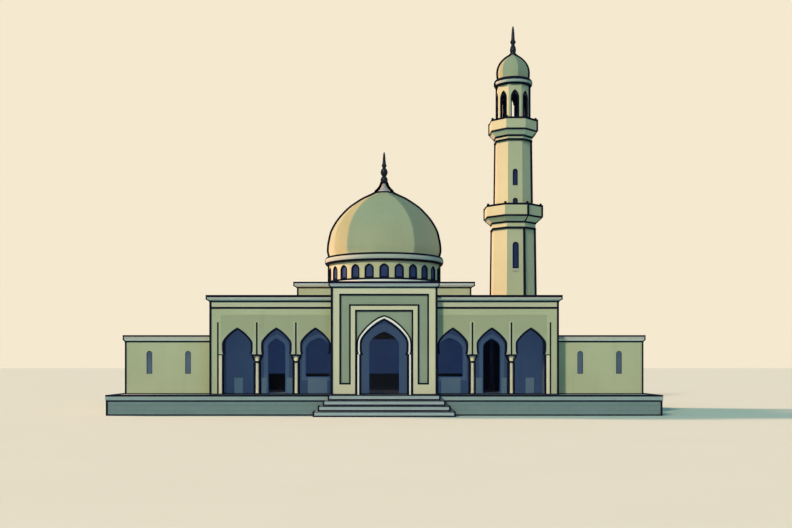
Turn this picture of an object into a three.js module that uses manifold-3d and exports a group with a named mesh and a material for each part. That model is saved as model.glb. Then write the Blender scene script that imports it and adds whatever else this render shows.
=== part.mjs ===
// Domed mosque with an arcaded front, a raised portal and one octagonal minaret.
// Millimetres, +Z up. The front faces -Y. The origin is on the ground under the middle.

import * as THREE from 'three';
import { mergeVertices } from 'three/addons/utils/BufferGeometryUtils.js';
import Module from 'manifold-3d';

const wasm = await Module();
wasm.setup();

// Levels above the ground
const riser = 283;
const stepCount = 4;
const floorZ = stepCount * riser;
const pavingZ = floorZ - riser;
const impostZ = 3370;
const fieldTopZ = 5550;
const roofUnderZ = 5950;
const roofTopZ = 6200;
const wallTopZ = 6320;
const corniceTopZ = 6650;

// Plan of the main block, y counted from the front face of the arcade
const middleY = 4770;
const halfWidth = 9670;
const rearY = 11200;
const wallThick = 450;
const innerX = halfWidth - wallThick;
const hallFrontY = 2650;
const firstBayX = 3820;
const bayPitch = 2170;
const bayCount = 3;
const recess = 60;

// How far a cutter passes the face it cuts, the lip of a slab edge, and a gap between cut faces
const overcut = 100;
const lip = 60;
const gap = 0.3;

// Arches: half width at the springing and above it, height, and the curves between
const arcadeShape = {
  pinch: 800, half: 850, rise: 1495, haunch: 440, turn: 0.62, foot: 300, straight: 550,
};
const portalShape = {
  pinch: 1290, half: 1335, rise: 1940, haunch: 760, turn: 0.62, foot: 260, straight: 520,
};
const fieldSideX = 9050;

// Columns
const shaftRadius = 150;
const neckZ = 2980;
const bellTopRadius = 235;
const abacusHalf = 310;
const abacusZ = 3255;
const respondInset = 20;
const respondCapOut = 50;

// Platform and steps
const platformHalf = 15180;
const platformFrontY = -900;
const platformRearY = 11740;
const landingHalf = 3070;
const landingDepth = 400;
const treadSide = 250;
const treadDepth = 320;

// Portal
const portalHalf = 2900;
const portalFrontY = -500;
const portalTopZ = 7050;
const portalCorniceZ = 7380;
const portalCorniceOut = 140;
const portalJamb = 1360;
const portalImpostZ = 3390;
const archivoltWidth = 130;
const archivoltBack = 10;
const channelOuter = { half: 2430, bottom: 1740, top: 6660 };
const channelInner = { half: 1880, top: 6070 };
const spandrelField = { half: 1560, top: 5770 };

// Doorways and windows of the hall
const mainDoor = { width: 1800, springing: 3900, apex: 4750, shoulder: 0.62, turn: 0.7 };
const sideDoor = { x: 6260, width: 1070, springing: 3780, apex: 4360 };
const hallWindow = { x: 3800, width: 1600, sill: 2060, springing: 3600, apex: 4370 };
const rearWindow = { width: 600, sill: 2330, top: 4340 };
const rearAxisX = 1280;
const rearField = { left: -9000, right: 6600, bottom: 1900 };
const sideField = { bottom: 4660, front: 1200, rearMargin: 600 };

// Attic, drum and dome
const atticHalf = 5070;
const atticFrontY = 2900;
const atticRearY = 10500;
const atticWallZ = 7300;
const atticTopZ = 7620;
const atticCorniceOut = 210;
const domeY = 6700;
const drumRadius = 3430;
const drumInner = 3110;
const drumWindows = 24;
const drumWindow = { width: 550, sill: 7930, springing: 8420, apex: 8750 };
const drumTopZ = 8930;
const domeBaseZ = 9400;
const domeThick = 250;
const capBaseZ = 13530;
const finialBaseZ = 14080;

// Minaret, levels from the roof upwards, radii measured to the flat sides
const minaretX = 8445;
const minaretY = 10000;
const minaretHalf = 1450;
const minaretBaseZ = corniceTopZ;
const lowerBalconyZ = 11600;
const lowerFloorZ = 12330;
const lowerRimZ = 13120;
const upperBalconyZ = 17320;
const upperFloorZ = 17930;
const upperRimZ = 18700;
const lanternTopZ = 20930;
const ringTopZ = 21400;
const minaretDomeZ = 23141;
const tipZ = 24980;
const lowerSlit = { width: 380, sill: 8990, top: 10670 };
const upperSlit = { width: 300, sill: 14360, top: 15410 };
const balconyDoor = { width: 300, top: 13530 };
const lanternArch = { width: 500, sill: 18120, springing: 20050, apex: 20520 };
const wellRadius = 850;
const shaftInner = 1000;
const balconyWall = 150;

// Wings
const wingOuterX = 14580;
const wingFrontY = 800;
const wingRearY = 7800;
const wingWall = 350;
const wingTopZ = 4100;
const wingRoofZ = 4450;
const wingCorniceOut = 110;
const wingSlit = { width: 320, sill: 2280, top: 3570 };
const wingWindowX = [11050, 13230];
const wingWindowY = [2120, 4300, 6480];
const glassThick = 20;

const part = new THREE.Group();
part.name = 'mosque';

const colours = {
  plaster: 0xa3b08a,
  trim: 0xd7dcc3,
  stone: 0x96aa96,
  plinth: 0x6b8378,
  column: 0xcdc8a0,
  dome: 0x92a682,
  metal: 0x2b3350,
  glass: 0x304272,
};

// Helpers

// A finished piece, moved so that the origin lies under the middle of the platform
function add(name, geometry, colour) {
  const bare = geometry.clone();
  bare.translate(0, -middleY, 0);
  bare.computeVertexNormals();
  const mesh = new THREE.Mesh(bare, new THREE.MeshStandardMaterial({ color: colours[colour] }));
  mesh.name = name;
  part.add(mesh);
}

function toSolid(geometry) {
  const bare = geometry.clone();
  bare.deleteAttribute('normal');
  bare.deleteAttribute('uv');
  const welded = mergeVertices(bare, 1e-3);
  return new wasm.Manifold(new wasm.Mesh({
    numProp: 3,
    vertProperties: new Float32Array(welded.attributes.position.array),
    triVerts: new Uint32Array(welded.index.array),
  }));
}

function toGeometry(solid) {
  const mesh = solid.getMesh();
  const geometry = new THREE.BufferGeometry();
  geometry.setAttribute('position', new THREE.BufferAttribute(mesh.vertProperties, 3));
  geometry.setIndex(new THREE.BufferAttribute(mesh.triVerts, 1));
  return geometry.toNonIndexed();
}

function cut(base, cutters) {
  let solid = toSolid(base);
  for (const cutter of cutters) {
    solid = solid.subtract(toSolid(cutter));
  }
  return toGeometry(solid);
}

function join(pieces) {
  let solid = toSolid(pieces[0]);
  for (const piece of pieces.slice(1)) {
    solid = solid.add(toSolid(piece));
  }
  return toGeometry(solid);
}

// A box between two corners
function box(x0, y0, z0, x1, y1, z1) {
  const geometry = new THREE.BoxGeometry(x1 - x0, y1 - y0, z1 - z0);
  geometry.translate((x0 + x1) / 2, (y0 + y1) / 2, (z0 + z1) / 2);
  return geometry;
}

// An outline in x and z carried from y0 to y1
function plate(points, y0, y1) {
  const shape = new THREE.Shape(points.map(([x, z]) => new THREE.Vector2(x, z)));
  const geometry = new THREE.ExtrudeGeometry(shape, { depth: y1 - y0, bevelEnabled: false });
  geometry.rotateX(Math.PI / 2);
  geometry.translate(0, y1, 0);
  return geometry;
}

function rectangle(left, bottom, right, top) {
  return [[left, bottom], [right, bottom], [right, top], [left, top]];
}

// A profile of radius and height turned about a vertical axis
function turned(points, segments, x, y, start = 0) {
  const profile = points.map(([r, z]) => new THREE.Vector2(r, z));
  const geometry = new THREE.LatheGeometry(profile, segments, start);
  geometry.rotateX(Math.PI / 2);
  geometry.translate(x, y, 0);
  return geometry;
}

// The same with eight flat sides, one facing the front, radii measured to the flats
function octagonal(points) {
  const corner = 1 / Math.cos(Math.PI / 8);
  const scaled = points.map(([r, z]) => [r * corner, z]);
  return turned(scaled.concat([scaled[0]]), 8, minaretX, minaretY, Math.PI / 8);
}

// Points on a circular arc
function arc(cx, cz, radius, from, to, steps) {
  const points = [];
  for (let i = 0; i <= steps; i += 1) {
    const angle = from + ((to - from) * i) / steps;
    points.push([cx + radius * Math.cos(angle), cz + radius * Math.sin(angle)]);
  }
  return points;
}

// Points on the arc that leaves a start in a given direction and meets an end
function arcTo(start, heading, end, steps) {
  const dx = end[0] - start[0];
  const dz = end[1] - start[1];
  const bend = Math.atan2(dz, dx) - heading;
  const chord = Math.hypot(dx, dz);
  const points = [];
  for (let i = 1; i <= steps; i += 1) {
    const share = i / steps;
    const length = (chord * Math.sin(bend * share)) / Math.sin(bend);
    const angle = heading + bend * share;
    points.push([start[0] + length * Math.cos(angle), start[1] + length * Math.sin(angle)]);
  }
  return points;
}

// Right half of a pointed arch above its springing, from the side up to the apex
function halfArch(half, rise, haunch, turn, steps) {
  const lower = arc(half - haunch, 0, haunch, 0, turn, steps);
  const upper = arcTo(lower[lower.length - 1], Math.PI / 2 + turn, [0, rise], steps);
  return lower.concat(upper);
}

// Closed outline of an arched opening: right side upwards, then the left side down
function opening(centre, bottom, springing, right) {
  const side = [[right[0][0], bottom]].concat(right.map(([x, z]) => [x, z + springing]));
  const left = side.slice(0, -1).reverse().map(([x, z]) => [-x, z]);
  return side.concat(left).map(([x, z]) => [x + centre, z]);
}

// A plain pointed opening: its form gives the full width, the two heights and how full its shoulders are
function pointed(centre, bottom, form, steps = 4) {
  const { width, springing, apex, shoulder = 0.85, turn = 0.95 } = form;
  const half = width / 2;
  const right = halfArch(half, apex - springing, half * shoulder, turn, steps);
  return opening(centre, bottom, springing, right);
}

// A round headed opening of given full width
function rounded(centre, bottom, apex, width, steps = 4) {
  const half = width / 2;
  const right = arc(0, 0, half, 0, Math.PI / 2, steps);
  right[steps][0] = 0;
  return opening(centre, bottom, apex - half, right);
}

// Right half of the waisted arch used along the arcade and in the portal
function waistedHalf({ pinch, half, rise, haunch, turn, foot, straight }) {
  const radius = ((half - pinch) ** 2 + foot ** 2) / (2 * (half - pinch));
  const sweep = Math.asin(foot / radius);
  const lower = arc(half - radius, foot, radius, -sweep, 0, 3);
  const upper = halfArch(half, rise - straight, haunch, turn, 4);
  return lower.concat(upper.map(([x, z]) => [x, z + straight]));
}

// A copy turned over across x or y, with its faces wound the right way again
function reflected(geometry, alongX, alongY) {
  const flipped = geometry.index ? geometry.toNonIndexed() : geometry.clone();
  flipped.scale(alongX, alongY, 1);
  const position = flipped.attributes.position;
  for (let i = 0; i < position.count; i += 3) {
    const second = [position.getX(i + 1), position.getY(i + 1), position.getZ(i + 1)];
    position.setXYZ(i + 1, position.getX(i + 2), position.getY(i + 2), position.getZ(i + 2));
    position.setXYZ(i + 2, ...second);
  }
  return flipped;
}

function mirrored(name, geometry, colour) {
  add(`${name}_right`, geometry, colour);
  add(`${name}_left`, reflected(geometry, -1, 1), colour);
}

// A rectangular slab whose edge leans outwards and ends in a plumb fascia, a share of its height
const fasciaShare = 0.65;

function flaredSlab(x0, y0, x1, y1, bottom, top, out, sides) {
  const low = [[x0, y0], [x1, y0], [x1, y1], [x0, y1]];
  const high = [
    [x0 - out * sides.left, y0 - out * sides.front],
    [x1 + out * sides.right, y0 - out * sides.front],
    [x1 + out * sides.right, y1 + out * sides.rear],
    [x0 - out * sides.left, y1 + out * sides.rear],
  ];
  const fasciaZ = top - fasciaShare * (top - bottom);
  const rings = [
    low.map(([x, y]) => [x, y, bottom]),
    high.map(([x, y]) => [x, y, fasciaZ]),
    high.map(([x, y]) => [x, y, top]),
  ];
  const faces = [0, 2, 1, 0, 3, 2, 8, 9, 10, 8, 10, 11];
  for (const ring of [0, 4]) {
    for (let i = 0; i < 4; i += 1) {
      const a = ring + i;
      const b = ring + ((i + 1) % 4);
      faces.push(a, b, b + 4, a, b + 4, a + 4);
    }
  }
  const geometry = new THREE.BufferGeometry();
  geometry.setAttribute('position', new THREE.Float32BufferAttribute(rings.flat(2), 3));
  geometry.setIndex(faces);
  return geometry.toNonIndexed();
}
const allSides = { left: 1, right: 1, front: 1, rear: 1 };

// A length of the main cornice along x, leaning out towards +y, mitred where asked
const corniceOut = 200;
const corniceFasciaZ = corniceTopZ - fasciaShare * (corniceTopZ - wallTopZ);
const corniceSection = [
  [-wallThick, wallTopZ],
  [0, wallTopZ],
  [corniceOut, corniceFasciaZ],
  [corniceOut, corniceTopZ],
  [-wallThick, corniceTopZ],
];

function corniceRun(length, mitreStart, mitreEnd) {
  const shape = new THREE.Shape(corniceSection.map(([out, z]) => new THREE.Vector2(out, z)));
  const geometry = new THREE.ExtrudeGeometry(shape, { depth: length, bevelEnabled: false });
  const position = geometry.attributes.position;
  for (let i = 0; i < position.count; i += 1) {
    const out = position.getX(i);
    const up = position.getY(i);
    let along = position.getZ(i);
    if (along < length / 2) {
      along = mitreStart ? gap - out : 0;
    } else {
      along = mitreEnd ? length + out - gap : length;
    }
    position.setXYZ(i, along, out, up);
  }
  return geometry;
}

// Platform and steps

const base = box(-platformHalf, platformFrontY, 0, platformHalf, platformRearY, pavingZ);
add('platform_base', base, 'plinth');
const pavingHalf = platformHalf + lip;
const pavingFrontY = platformFrontY - lip;
const paving = box(-pavingHalf, pavingFrontY, pavingZ, pavingHalf, platformRearY + lip, floorZ);
add('platform_paving', paving, 'stone');

// Steps wrap round the landing, the lowest is number 1
function stairStep(level) {
  const drop = stepCount - level;
  const half = landingHalf + drop * treadSide;
  const front = platformFrontY - landingDepth - drop * treadDepth;
  const back = drop === 0 ? pavingFrontY : platformFrontY;
  return box(-half, front, (level - 1) * riser, half, back, level * riser);
}
add('stair_flight', join([1, 2, 3, 4].map(stairStep)), 'stone');

// Arcade, built for the right side and mirrored

const bayCentres = [];
for (let i = 0; i < bayCount; i += 1) {
  bayCentres.push(firstBayX + i * bayPitch);
}
const arcadeHalf = waistedHalf(arcadeShape);
const wallBack = wallThick + overcut;

const arcadeCuts = bayCentres.map(
  (x) => plate(opening(x, impostZ - 4 * overcut, impostZ, arcadeHalf), -overcut, wallBack),
);
const openLeft = firstBayX - arcadeShape.pinch;
arcadeCuts.push(box(openLeft, -overcut, floorZ - overcut, innerX, wallBack, impostZ));
arcadeCuts.push(box(openLeft, -overcut, impostZ - recess, fieldSideX, recess, fieldTopZ));
const arcadeWall = cut(box(portalHalf, 0, floorZ, halfWidth, wallThick, wallTopZ), arcadeCuts);
mirrored('arcade_wall', arcadeWall, 'plaster');

// Column with base, neck ring, bell and a square abacus
const columnProfile = [
  [0, floorZ],
  [shaftRadius + 30, floorZ],
  [shaftRadius + 30, floorZ + 70],
  [shaftRadius, floorZ + 110],
  [shaftRadius, neckZ - 20],
  [shaftRadius + 35, neckZ],
  [shaftRadius + 35, neckZ + 50],
  [shaftRadius + 10, neckZ + 70],
  [bellTopRadius, abacusZ],
  [0, abacusZ],
];
const columnY = wallThick / 2;

function column(x) {
  const shaft = turned(columnProfile, 16, x, columnY);
  const abacus = box(
    x - abacusHalf,
    columnY - abacusHalf,
    abacusZ - 1,
    x + abacusHalf,
    columnY + abacusHalf,
    impostZ,
  );
  return join([shaft, abacus]);
}
for (let i = 0; i < bayCount - 1; i += 1) {
  const place = i === 0 ? 'inner' : 'outer';
  mirrored(`arcade_column_${place}`, column(firstBayX + (i + 0.5) * bayPitch), 'column');
}

// Flat strip with a wider capping block, against the end pier
const stripX = innerX - shaftRadius;
const strip = box(stripX, respondInset, floorZ, innerX, wallThick - respondInset, abacusZ);
const stripCap = box(stripX - respondCapOut, 0, abacusZ - 1, innerX, wallThick, impostZ);
mirrored('arcade_respond', join([strip, stripCap]), 'column');

// Portal

const portalHalfArch = waistedHalf(portalShape);
const corbelDrop = 40;
const bandTaper = 0.25;

// Outline of the doorway, or of a band around it that is slimmer towards its apex
function portalOutline(grow, bottom) {
  const side = [[portalJamb + grow, bottom], [portalJamb + grow, portalImpostZ - corbelDrop]];
  for (const [x, z] of portalHalfArch) {
    const share = z / portalShape.rise;
    const outward = x > 1 ? grow * (1 - share * bandTaper) : 0;
    side.push([x + outward, z + portalImpostZ + grow * share]);
  }
  const left = side.slice(0, -1).reverse().map(([x, z]) => [-x, z]);
  return side.concat(left);
}

const portalCutFront = portalFrontY - overcut;
const recessY = portalFrontY + recess;
const { half: outerHalf, bottom: outerBottom, top: outerTop } = channelOuter;
const { half: innerHalf, top: innerTop } = channelInner;
const { half: fieldHalf, top: fieldTop } = spandrelField;
const channelFrame = plate(rectangle(-outerHalf, outerBottom, outerHalf, outerTop), portalCutFront, recessY);
const channelCore = plate(rectangle(-innerHalf, 0, innerHalf, innerTop), portalCutFront - overcut, 0);
const channel = toGeometry(toSolid(channelFrame).subtract(toSolid(channelCore)));
const spandrel = plate(rectangle(-fieldHalf, 0, fieldHalf, fieldTop), portalCutFront, recessY);
const doorway = plate(portalOutline(0, 0), portalCutFront, wallBack);
const portalMass = box(-portalHalf, portalFrontY, floorZ, portalHalf, wallThick, portalTopZ);
add('portal_block', cut(portalMass, [channel, spandrel, doorway]), 'plaster');

const archivoltFront = portalFrontY + archivoltBack;
const archivoltBand = plate(portalOutline(archivoltWidth, floorZ), archivoltFront, recessY);
const archivoltInside = portalOutline(0, floorZ - overcut);
const archivoltCut = plate(archivoltInside, archivoltFront - overcut, recessY + overcut);
add('portal_archivolt', cut(archivoltBand, [archivoltCut]), 'trim');

const portalSlab = flaredSlab(
  -portalHalf,
  portalFrontY,
  portalHalf,
  wallThick,
  portalTopZ,
  portalCorniceZ,
  portalCorniceOut,
  allSides,
);
add('portal_cornice', portalSlab, 'stone');

// Hall walls

const hallCutFront = hallFrontY - overcut;
const hallCutBack = hallFrontY + wallThick + overcut;

function hallCut(x, bottom, form) {
  return plate(pointed(x, bottom, form), hallCutFront, hallCutBack);
}
const hallCuts = [hallCut(0, floorZ - overcut, mainDoor)];
for (const side of [-1, 1]) {
  hallCuts.push(hallCut(side * sideDoor.x, floorZ - overcut, sideDoor));
  hallCuts.push(hallCut(side * hallWindow.x, hallWindow.sill, hallWindow));
}
const hallWall = box(-innerX, hallFrontY, floorZ, innerX, hallFrontY + wallThick, roofUnderZ);
add('hall_front_wall', cut(hallWall, hallCuts), 'plaster');

const baseFrontY = minaretY - minaretHalf;
const baseLeftX = minaretX - minaretHalf;

// A side wall of the right side with a shallow field above the wing's roof
function sideWall(endY) {
  const wall = box(innerX, wallThick, floorZ, halfWidth, endY, wallTopZ);
  const fieldEnd = endY - sideField.rearMargin;
  const front = sideField.front;
  const field = box(halfWidth - recess, front, sideField.bottom, halfWidth + overcut, fieldEnd, fieldTopZ);
  return cut(wall, [field]);
}
add('side_wall_left', reflected(sideWall(rearY), -1, 1), 'plaster');
add('side_wall_right', sideWall(baseFrontY), 'plaster');

// Rear wall with one slim window to each bay and a shallow field
const rearWindowX = [-rearAxisX, rearAxisX];
for (const x of bayCentres) {
  rearWindowX.push(-x);
  if (x < baseLeftX) {
    rearWindowX.push(x);
  }
}
const rearCuts = rearWindowX.map((x) => {
  const window = rounded(x, rearWindow.sill, rearWindow.top, rearWindow.width);
  return plate(window, rearY - wallThick - overcut, rearY + overcut);
});
const rearCutBack = rearY + overcut;
rearCuts.push(
  box(rearField.left, rearY - recess, rearField.bottom, rearField.right, rearCutBack, fieldTopZ),
);
const rearWall = box(-innerX, rearY - wallThick, floorZ, baseLeftX, rearY, wallTopZ);
add('rear_wall', cut(rearWall, rearCuts), 'plaster');

const glassEdge = 130;
const glassY = rearY - wallThick;
const rearGlass = box(
  Math.min(...rearWindowX) - rearWindow.width / 2 - glassEdge,
  glassY - glassThick,
  rearWindow.sill - glassEdge,
  Math.max(...rearWindowX) + rearWindow.width / 2 + glassEdge,
  glassY,
  rearWindow.top + glassEdge,
);
add('rear_glass', rearGlass, 'glass');

// Roof and cornice of the main block

const atticInnerX = atticHalf - wallThick;
const atticInnerFront = atticFrontY + wallThick;
const atticInnerRear = atticRearY - wallThick;
const roofBottom = roofUnderZ - overcut;
const roofTop = roofTopZ + overcut;
const roofCuts = [
  box(-atticInnerX, atticInnerFront, roofBottom, atticInnerX, atticInnerRear, roofTop),
  box(baseLeftX, baseFrontY, roofBottom, halfWidth, rearY, roofTop),
];
const roof = box(-innerX, wallThick, roofUnderZ, innerX, rearY - wallThick, roofTopZ);
add('roof_slab', cut(roof, roofCuts), 'stone');

// Front run from the portal to the corner, turned to the front and mirrored
const frontRun = reflected(corniceRun(halfWidth - portalHalf, false, true), 1, -1);
frontRun.translate(portalHalf, 0, 0);
mirrored('cornice_front', frontRun, 'stone');

const rightRun = reflected(corniceRun(baseFrontY, true, false), 1, -1);
rightRun.rotateZ(Math.PI / 2);
rightRun.translate(halfWidth, 0, 0);
add('cornice_right', rightRun, 'stone');

const leftRun = corniceRun(rearY, true, true);
leftRun.rotateZ(Math.PI / 2);
leftRun.translate(-halfWidth, 0, 0);
add('cornice_left', leftRun, 'stone');

const rearRun = corniceRun(halfWidth + baseLeftX, true, false);
rearRun.translate(-halfWidth, rearY, 0);
add('cornice_rear', rearRun, 'stone');

// Attic

const atticShell = box(-atticHalf, atticFrontY, roofTopZ, atticHalf, atticRearY, atticWallZ);
const atticHollow = box(
  -atticInnerX,
  atticInnerFront,
  roofTopZ - overcut,
  atticInnerX,
  atticInnerRear,
  atticWallZ + overcut,
);
add('attic_walls', cut(atticShell, [atticHollow]), 'plaster');

const atticSlab = flaredSlab(
  -atticHalf,
  atticFrontY,
  atticHalf,
  atticRearY,
  atticWallZ,
  atticTopZ,
  atticCorniceOut,
  allSides,
);
const drumSegments = drumWindows * 4;

function ringTube(inner, outer, bottom, top) {
  const points = [[inner, bottom], [outer, bottom], [outer, top], [inner, top], [inner, bottom]];
  return turned(points, drumSegments, 0, domeY);
}
const wellBottom = atticWallZ - overcut;
const wellTop = atticTopZ + overcut;
const wellProfile = [[0, wellBottom], [drumInner, wellBottom], [drumInner, wellTop], [0, wellTop]];
const well = turned(wellProfile, drumSegments, 0, domeY);
add('attic_roof', cut(atticSlab, [well]), 'stone');

// Drum with a ring of pointed windows, in a front and a rear half

let drumSolid = toSolid(ringTube(drumInner, drumRadius, atticTopZ, drumTopZ));
for (let i = 0; i < drumWindows; i += 1) {
  const outline = pointed(0, drumWindow.sill, drumWindow, 3);
  const window = plate(outline, -drumRadius - 3 * overcut, 3 * overcut - drumInner);
  window.rotateZ((i * 2 * Math.PI) / drumWindows);
  window.translate(0, domeY, 0);
  drumSolid = drumSolid.subtract(toSolid(window));
}
const reach = drumRadius + overcut;
const frontHalf = toSolid(box(-reach, domeY - reach, atticTopZ - overcut, reach, domeY, drumTopZ + overcut));
add('drum_wall_front', toGeometry(drumSolid.intersect(frontHalf)), 'plaster');
add('drum_wall_rear', toGeometry(drumSolid.subtract(frontHalf)), 'plaster');
const drumGlass = ringTube(drumInner - glassThick, drumInner - gap, atticTopZ, drumTopZ);
add('drum_glass', drumGlass, 'glass');

const drumCornice = [
  [drumInner, drumTopZ],
  [drumRadius + 130, drumTopZ],
  [drumRadius + 210, drumTopZ + 40],
  [drumRadius + 240, drumTopZ + 120],
  [drumRadius + 240, domeBaseZ - 120],
  [drumRadius + 210, domeBaseZ - 40],
  [drumRadius + 130, domeBaseZ],
  [drumInner, domeBaseZ],
  [drumInner, drumTopZ],
];
add('drum_cornice', turned(drumCornice, drumSegments / 2, 0, domeY), 'stone');

// Dome, its pale cap and its finial

const capHole = 450;
const capRadius = 665;
const domeOutside = [
  [drumRadius, domeBaseZ],
  [3500, 9740],
  [3530, 10140],
  [3515, 10590],
  [3400, 11200],
  [3130, 11790],
  [2680, 12320],
  [2150, 12790],
  [1620, 13130],
  [1100, 13370],
  [capRadius, capBaseZ],
];
const domeInside = [
  [capHole, capBaseZ],
  [capHole, 13330],
  [1000, 13110],
  [1500, 12870],
  [2000, 12560],
  [2500, 12130],
  [2920, 11640],
  [3150, 11120],
  [3262, 10560],
  [3280, 10140],
  [3250, 9740],
  [drumRadius - domeThick, domeBaseZ],
];
const domeProfile = domeOutside.concat(domeInside, [domeOutside[0]]);
add('dome_shell', turned(domeProfile, 48, 0, domeY), 'dome');

const plugRadius = capHole - 10;
const capProfile = [
  [0, capBaseZ - 150],
  [plugRadius, capBaseZ - 150],
  [plugRadius, capBaseZ],
  [capRadius + 40, capBaseZ],
  [690, 13560],
  [540, 13680],
  [400, 13810],
  [290, 13940],
  [190, finialBaseZ],
  [0, finialBaseZ],
];
add('dome_cap', turned(capProfile, 32, 0, domeY), 'trim');

const domeFinial = [
  [0, finialBaseZ],
  [170, finialBaseZ],
  [215, 14190],
  [226, 14290],
  [195, 14400],
  [130, 14506],
  [190, 14620],
  [220, 14760],
  [185, 14910],
  [104, 15035],
  [160, 15165],
  [110, 15310],
  [83, 15640],
  [58, 15900],
  [0, 16030],
];
add('dome_finial', turned(domeFinial, 16, 0, domeY), 'metal');

// Minaret

const baseRightX = minaretX + minaretHalf;
const baseRearY = minaretY + minaretHalf;
const baseShell = box(baseLeftX, baseFrontY, floorZ, baseRightX, baseRearY, minaretBaseZ);
const baseHollow = box(
  baseLeftX + wallThick,
  baseFrontY + wallThick,
  floorZ - overcut,
  baseRightX - wallThick,
  baseRearY - wallThick,
  minaretBaseZ + overcut,
);
add('minaret_base', cut(baseShell, [baseHollow]), 'plaster');

// A round headed cutter through the front side of a shaft
function frontSlit(sill, top, width) {
  const slit = plate(rounded(0, sill, top, width), -minaretHalf - overcut, -wallThick);
  slit.translate(minaretX, minaretY, 0);
  return slit;
}

const lowerShaft = octagonal([
  [shaftInner, minaretBaseZ],
  [1385, minaretBaseZ],
  [1325, lowerBalconyZ],
  [shaftInner, lowerBalconyZ],
]);
const lowerCut = frontSlit(lowerSlit.sill, lowerSlit.top, lowerSlit.width);
add('minaret_shaft_lower', cut(lowerShaft, [lowerCut]), 'plaster');

const lowerBalcony = octagonal([
  [wellRadius, lowerBalconyZ],
  [1390, lowerBalconyZ],
  [1390, lowerBalconyZ + 370],
  [1785, lowerFloorZ - 30],
  [1785, lowerRimZ],
  [1785 - balconyWall, lowerRimZ],
  [1785 - balconyWall, lowerFloorZ],
  [wellRadius, lowerFloorZ],
]);
add('minaret_balcony_lower', lowerBalcony, 'trim');

const upperInner = 795;
const upperShaft = octagonal([
  [wellRadius, lowerFloorZ],
  [1155, lowerFloorZ],
  [1095, upperBalconyZ],
  [upperInner, upperBalconyZ],
]);
const upperCuts = [
  frontSlit(upperSlit.sill, upperSlit.top, upperSlit.width),
  frontSlit(lowerFloorZ - overcut, balconyDoor.top, balconyDoor.width),
];
add('minaret_shaft_upper', cut(upperShaft, upperCuts), 'plaster');

const upperBalcony = octagonal([
  [upperInner, upperBalconyZ],
  [1165, upperBalconyZ],
  [1165, upperBalconyZ + 250],
  [1480, upperFloorZ - 30],
  [1480, upperRimZ],
  [1480 - balconyWall, upperRimZ],
  [1480 - balconyWall, upperFloorZ],
  [upperInner, upperFloorZ],
]);
add('minaret_balcony_upper', upperBalcony, 'trim');

const lanternTube = octagonal([
  [810, upperFloorZ],
  [1000, upperFloorZ],
  [1000, lanternTopZ],
  [810, lanternTopZ],
]);
const lanternCuts = [];
for (let i = 0; i < 8; i += 1) {
  const arch = plate(pointed(0, lanternArch.sill, lanternArch, 3), -minaretHalf, -wallThick);
  arch.rotateZ((i * Math.PI) / 4);
  arch.translate(minaretX, minaretY, 0);
  lanternCuts.push(arch);
}
add('minaret_lantern', cut(lanternTube, lanternCuts), 'plaster');

const ringProfile = [
  [0, lanternTopZ],
  [1090, lanternTopZ],
  [1200, lanternTopZ + 70],
  [1245, (lanternTopZ + ringTopZ) / 2],
  [1200, ringTopZ - 70],
  [1090, ringTopZ],
  [0, ringTopZ],
];
add('minaret_ring', turned(ringProfile, 32, minaretX, minaretY), 'trim');

const minaretDomeProfile = [
  [1010, ringTopZ],
  [1065, 21600],
  [1097, 21900],
  [1085, 22060],
  [1040, 22256],
  [950, 22496],
  [800, 22703],
  [650, 22855],
  [500, 22969],
  [350, 23060],
  [180, minaretDomeZ],
  [0, minaretDomeZ],
  [0, 22960],
  [330, 22880],
  [480, 22790],
  [620, 22680],
  [760, 22530],
  [880, 22350],
  [920, 22100],
  [930, 21900],
  [900, 21650],
  [850, ringTopZ],
  [1010, ringTopZ],
];
add('minaret_dome', turned(minaretDomeProfile, 32, minaretX, minaretY), 'dome');

const minaretFinial = [
  [0, minaretDomeZ],
  [180, minaretDomeZ],
  [190, 23250],
  [200, 23400],
  [165, 23600],
  [110, 23720],
  [130, 23800],
  [185, 23930],
  [130, 24050],
  [100, 24200],
  [80, 24500],
  [55, 24850],
  [0, tipZ],
];
add('minaret_finial', turned(minaretFinial, 16, minaretX, minaretY), 'metal');

// Wings, built for the right side and mirrored

const wingInnerX = halfWidth;
const wingShell = box(wingInnerX, wingFrontY, floorZ, wingOuterX, wingRearY, wingTopZ);
const wingHollow = box(
  wingInnerX - overcut,
  wingFrontY + wingWall,
  floorZ - overcut,
  wingOuterX - wingWall,
  wingRearY - wingWall,
  wingTopZ + overcut,
);
const wingCuts = [wingHollow];
const { width: slitWidth, sill: slitSill, top: slitTop } = wingSlit;
for (const x of wingWindowX) {
  const slit = rounded(x, slitSill, slitTop, slitWidth);
  wingCuts.push(plate(slit, wingFrontY - overcut, wingRearY + overcut));
}
for (const y of wingWindowY) {
  const slit = plate(rounded(0, slitSill, slitTop, slitWidth), -wingWall - overcut, overcut);
  slit.rotateZ(Math.PI / 2);
  slit.translate(wingOuterX, y, 0);
  wingCuts.push(slit);
}
mirrored('wing_walls', cut(wingShell, wingCuts), 'plaster');

// Glass inside the front, outer and rear walls, in one bent sheet
const wingGlassInner = wingInnerX + 600;
const wingGlassShell = box(
  wingGlassInner,
  wingFrontY + wingWall,
  slitSill - glassEdge,
  wingOuterX - wingWall,
  wingRearY - wingWall,
  slitTop + glassEdge,
);
const wingGlassHollow = box(
  wingGlassInner - overcut,
  wingFrontY + wingWall + glassThick,
  slitSill - 2 * glassEdge,
  wingOuterX - wingWall - glassThick,
  wingRearY - wingWall - glassThick,
  slitTop + 2 * glassEdge,
);
mirrored('wing_glass', cut(wingGlassShell, [wingGlassHollow]), 'glass');

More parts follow.
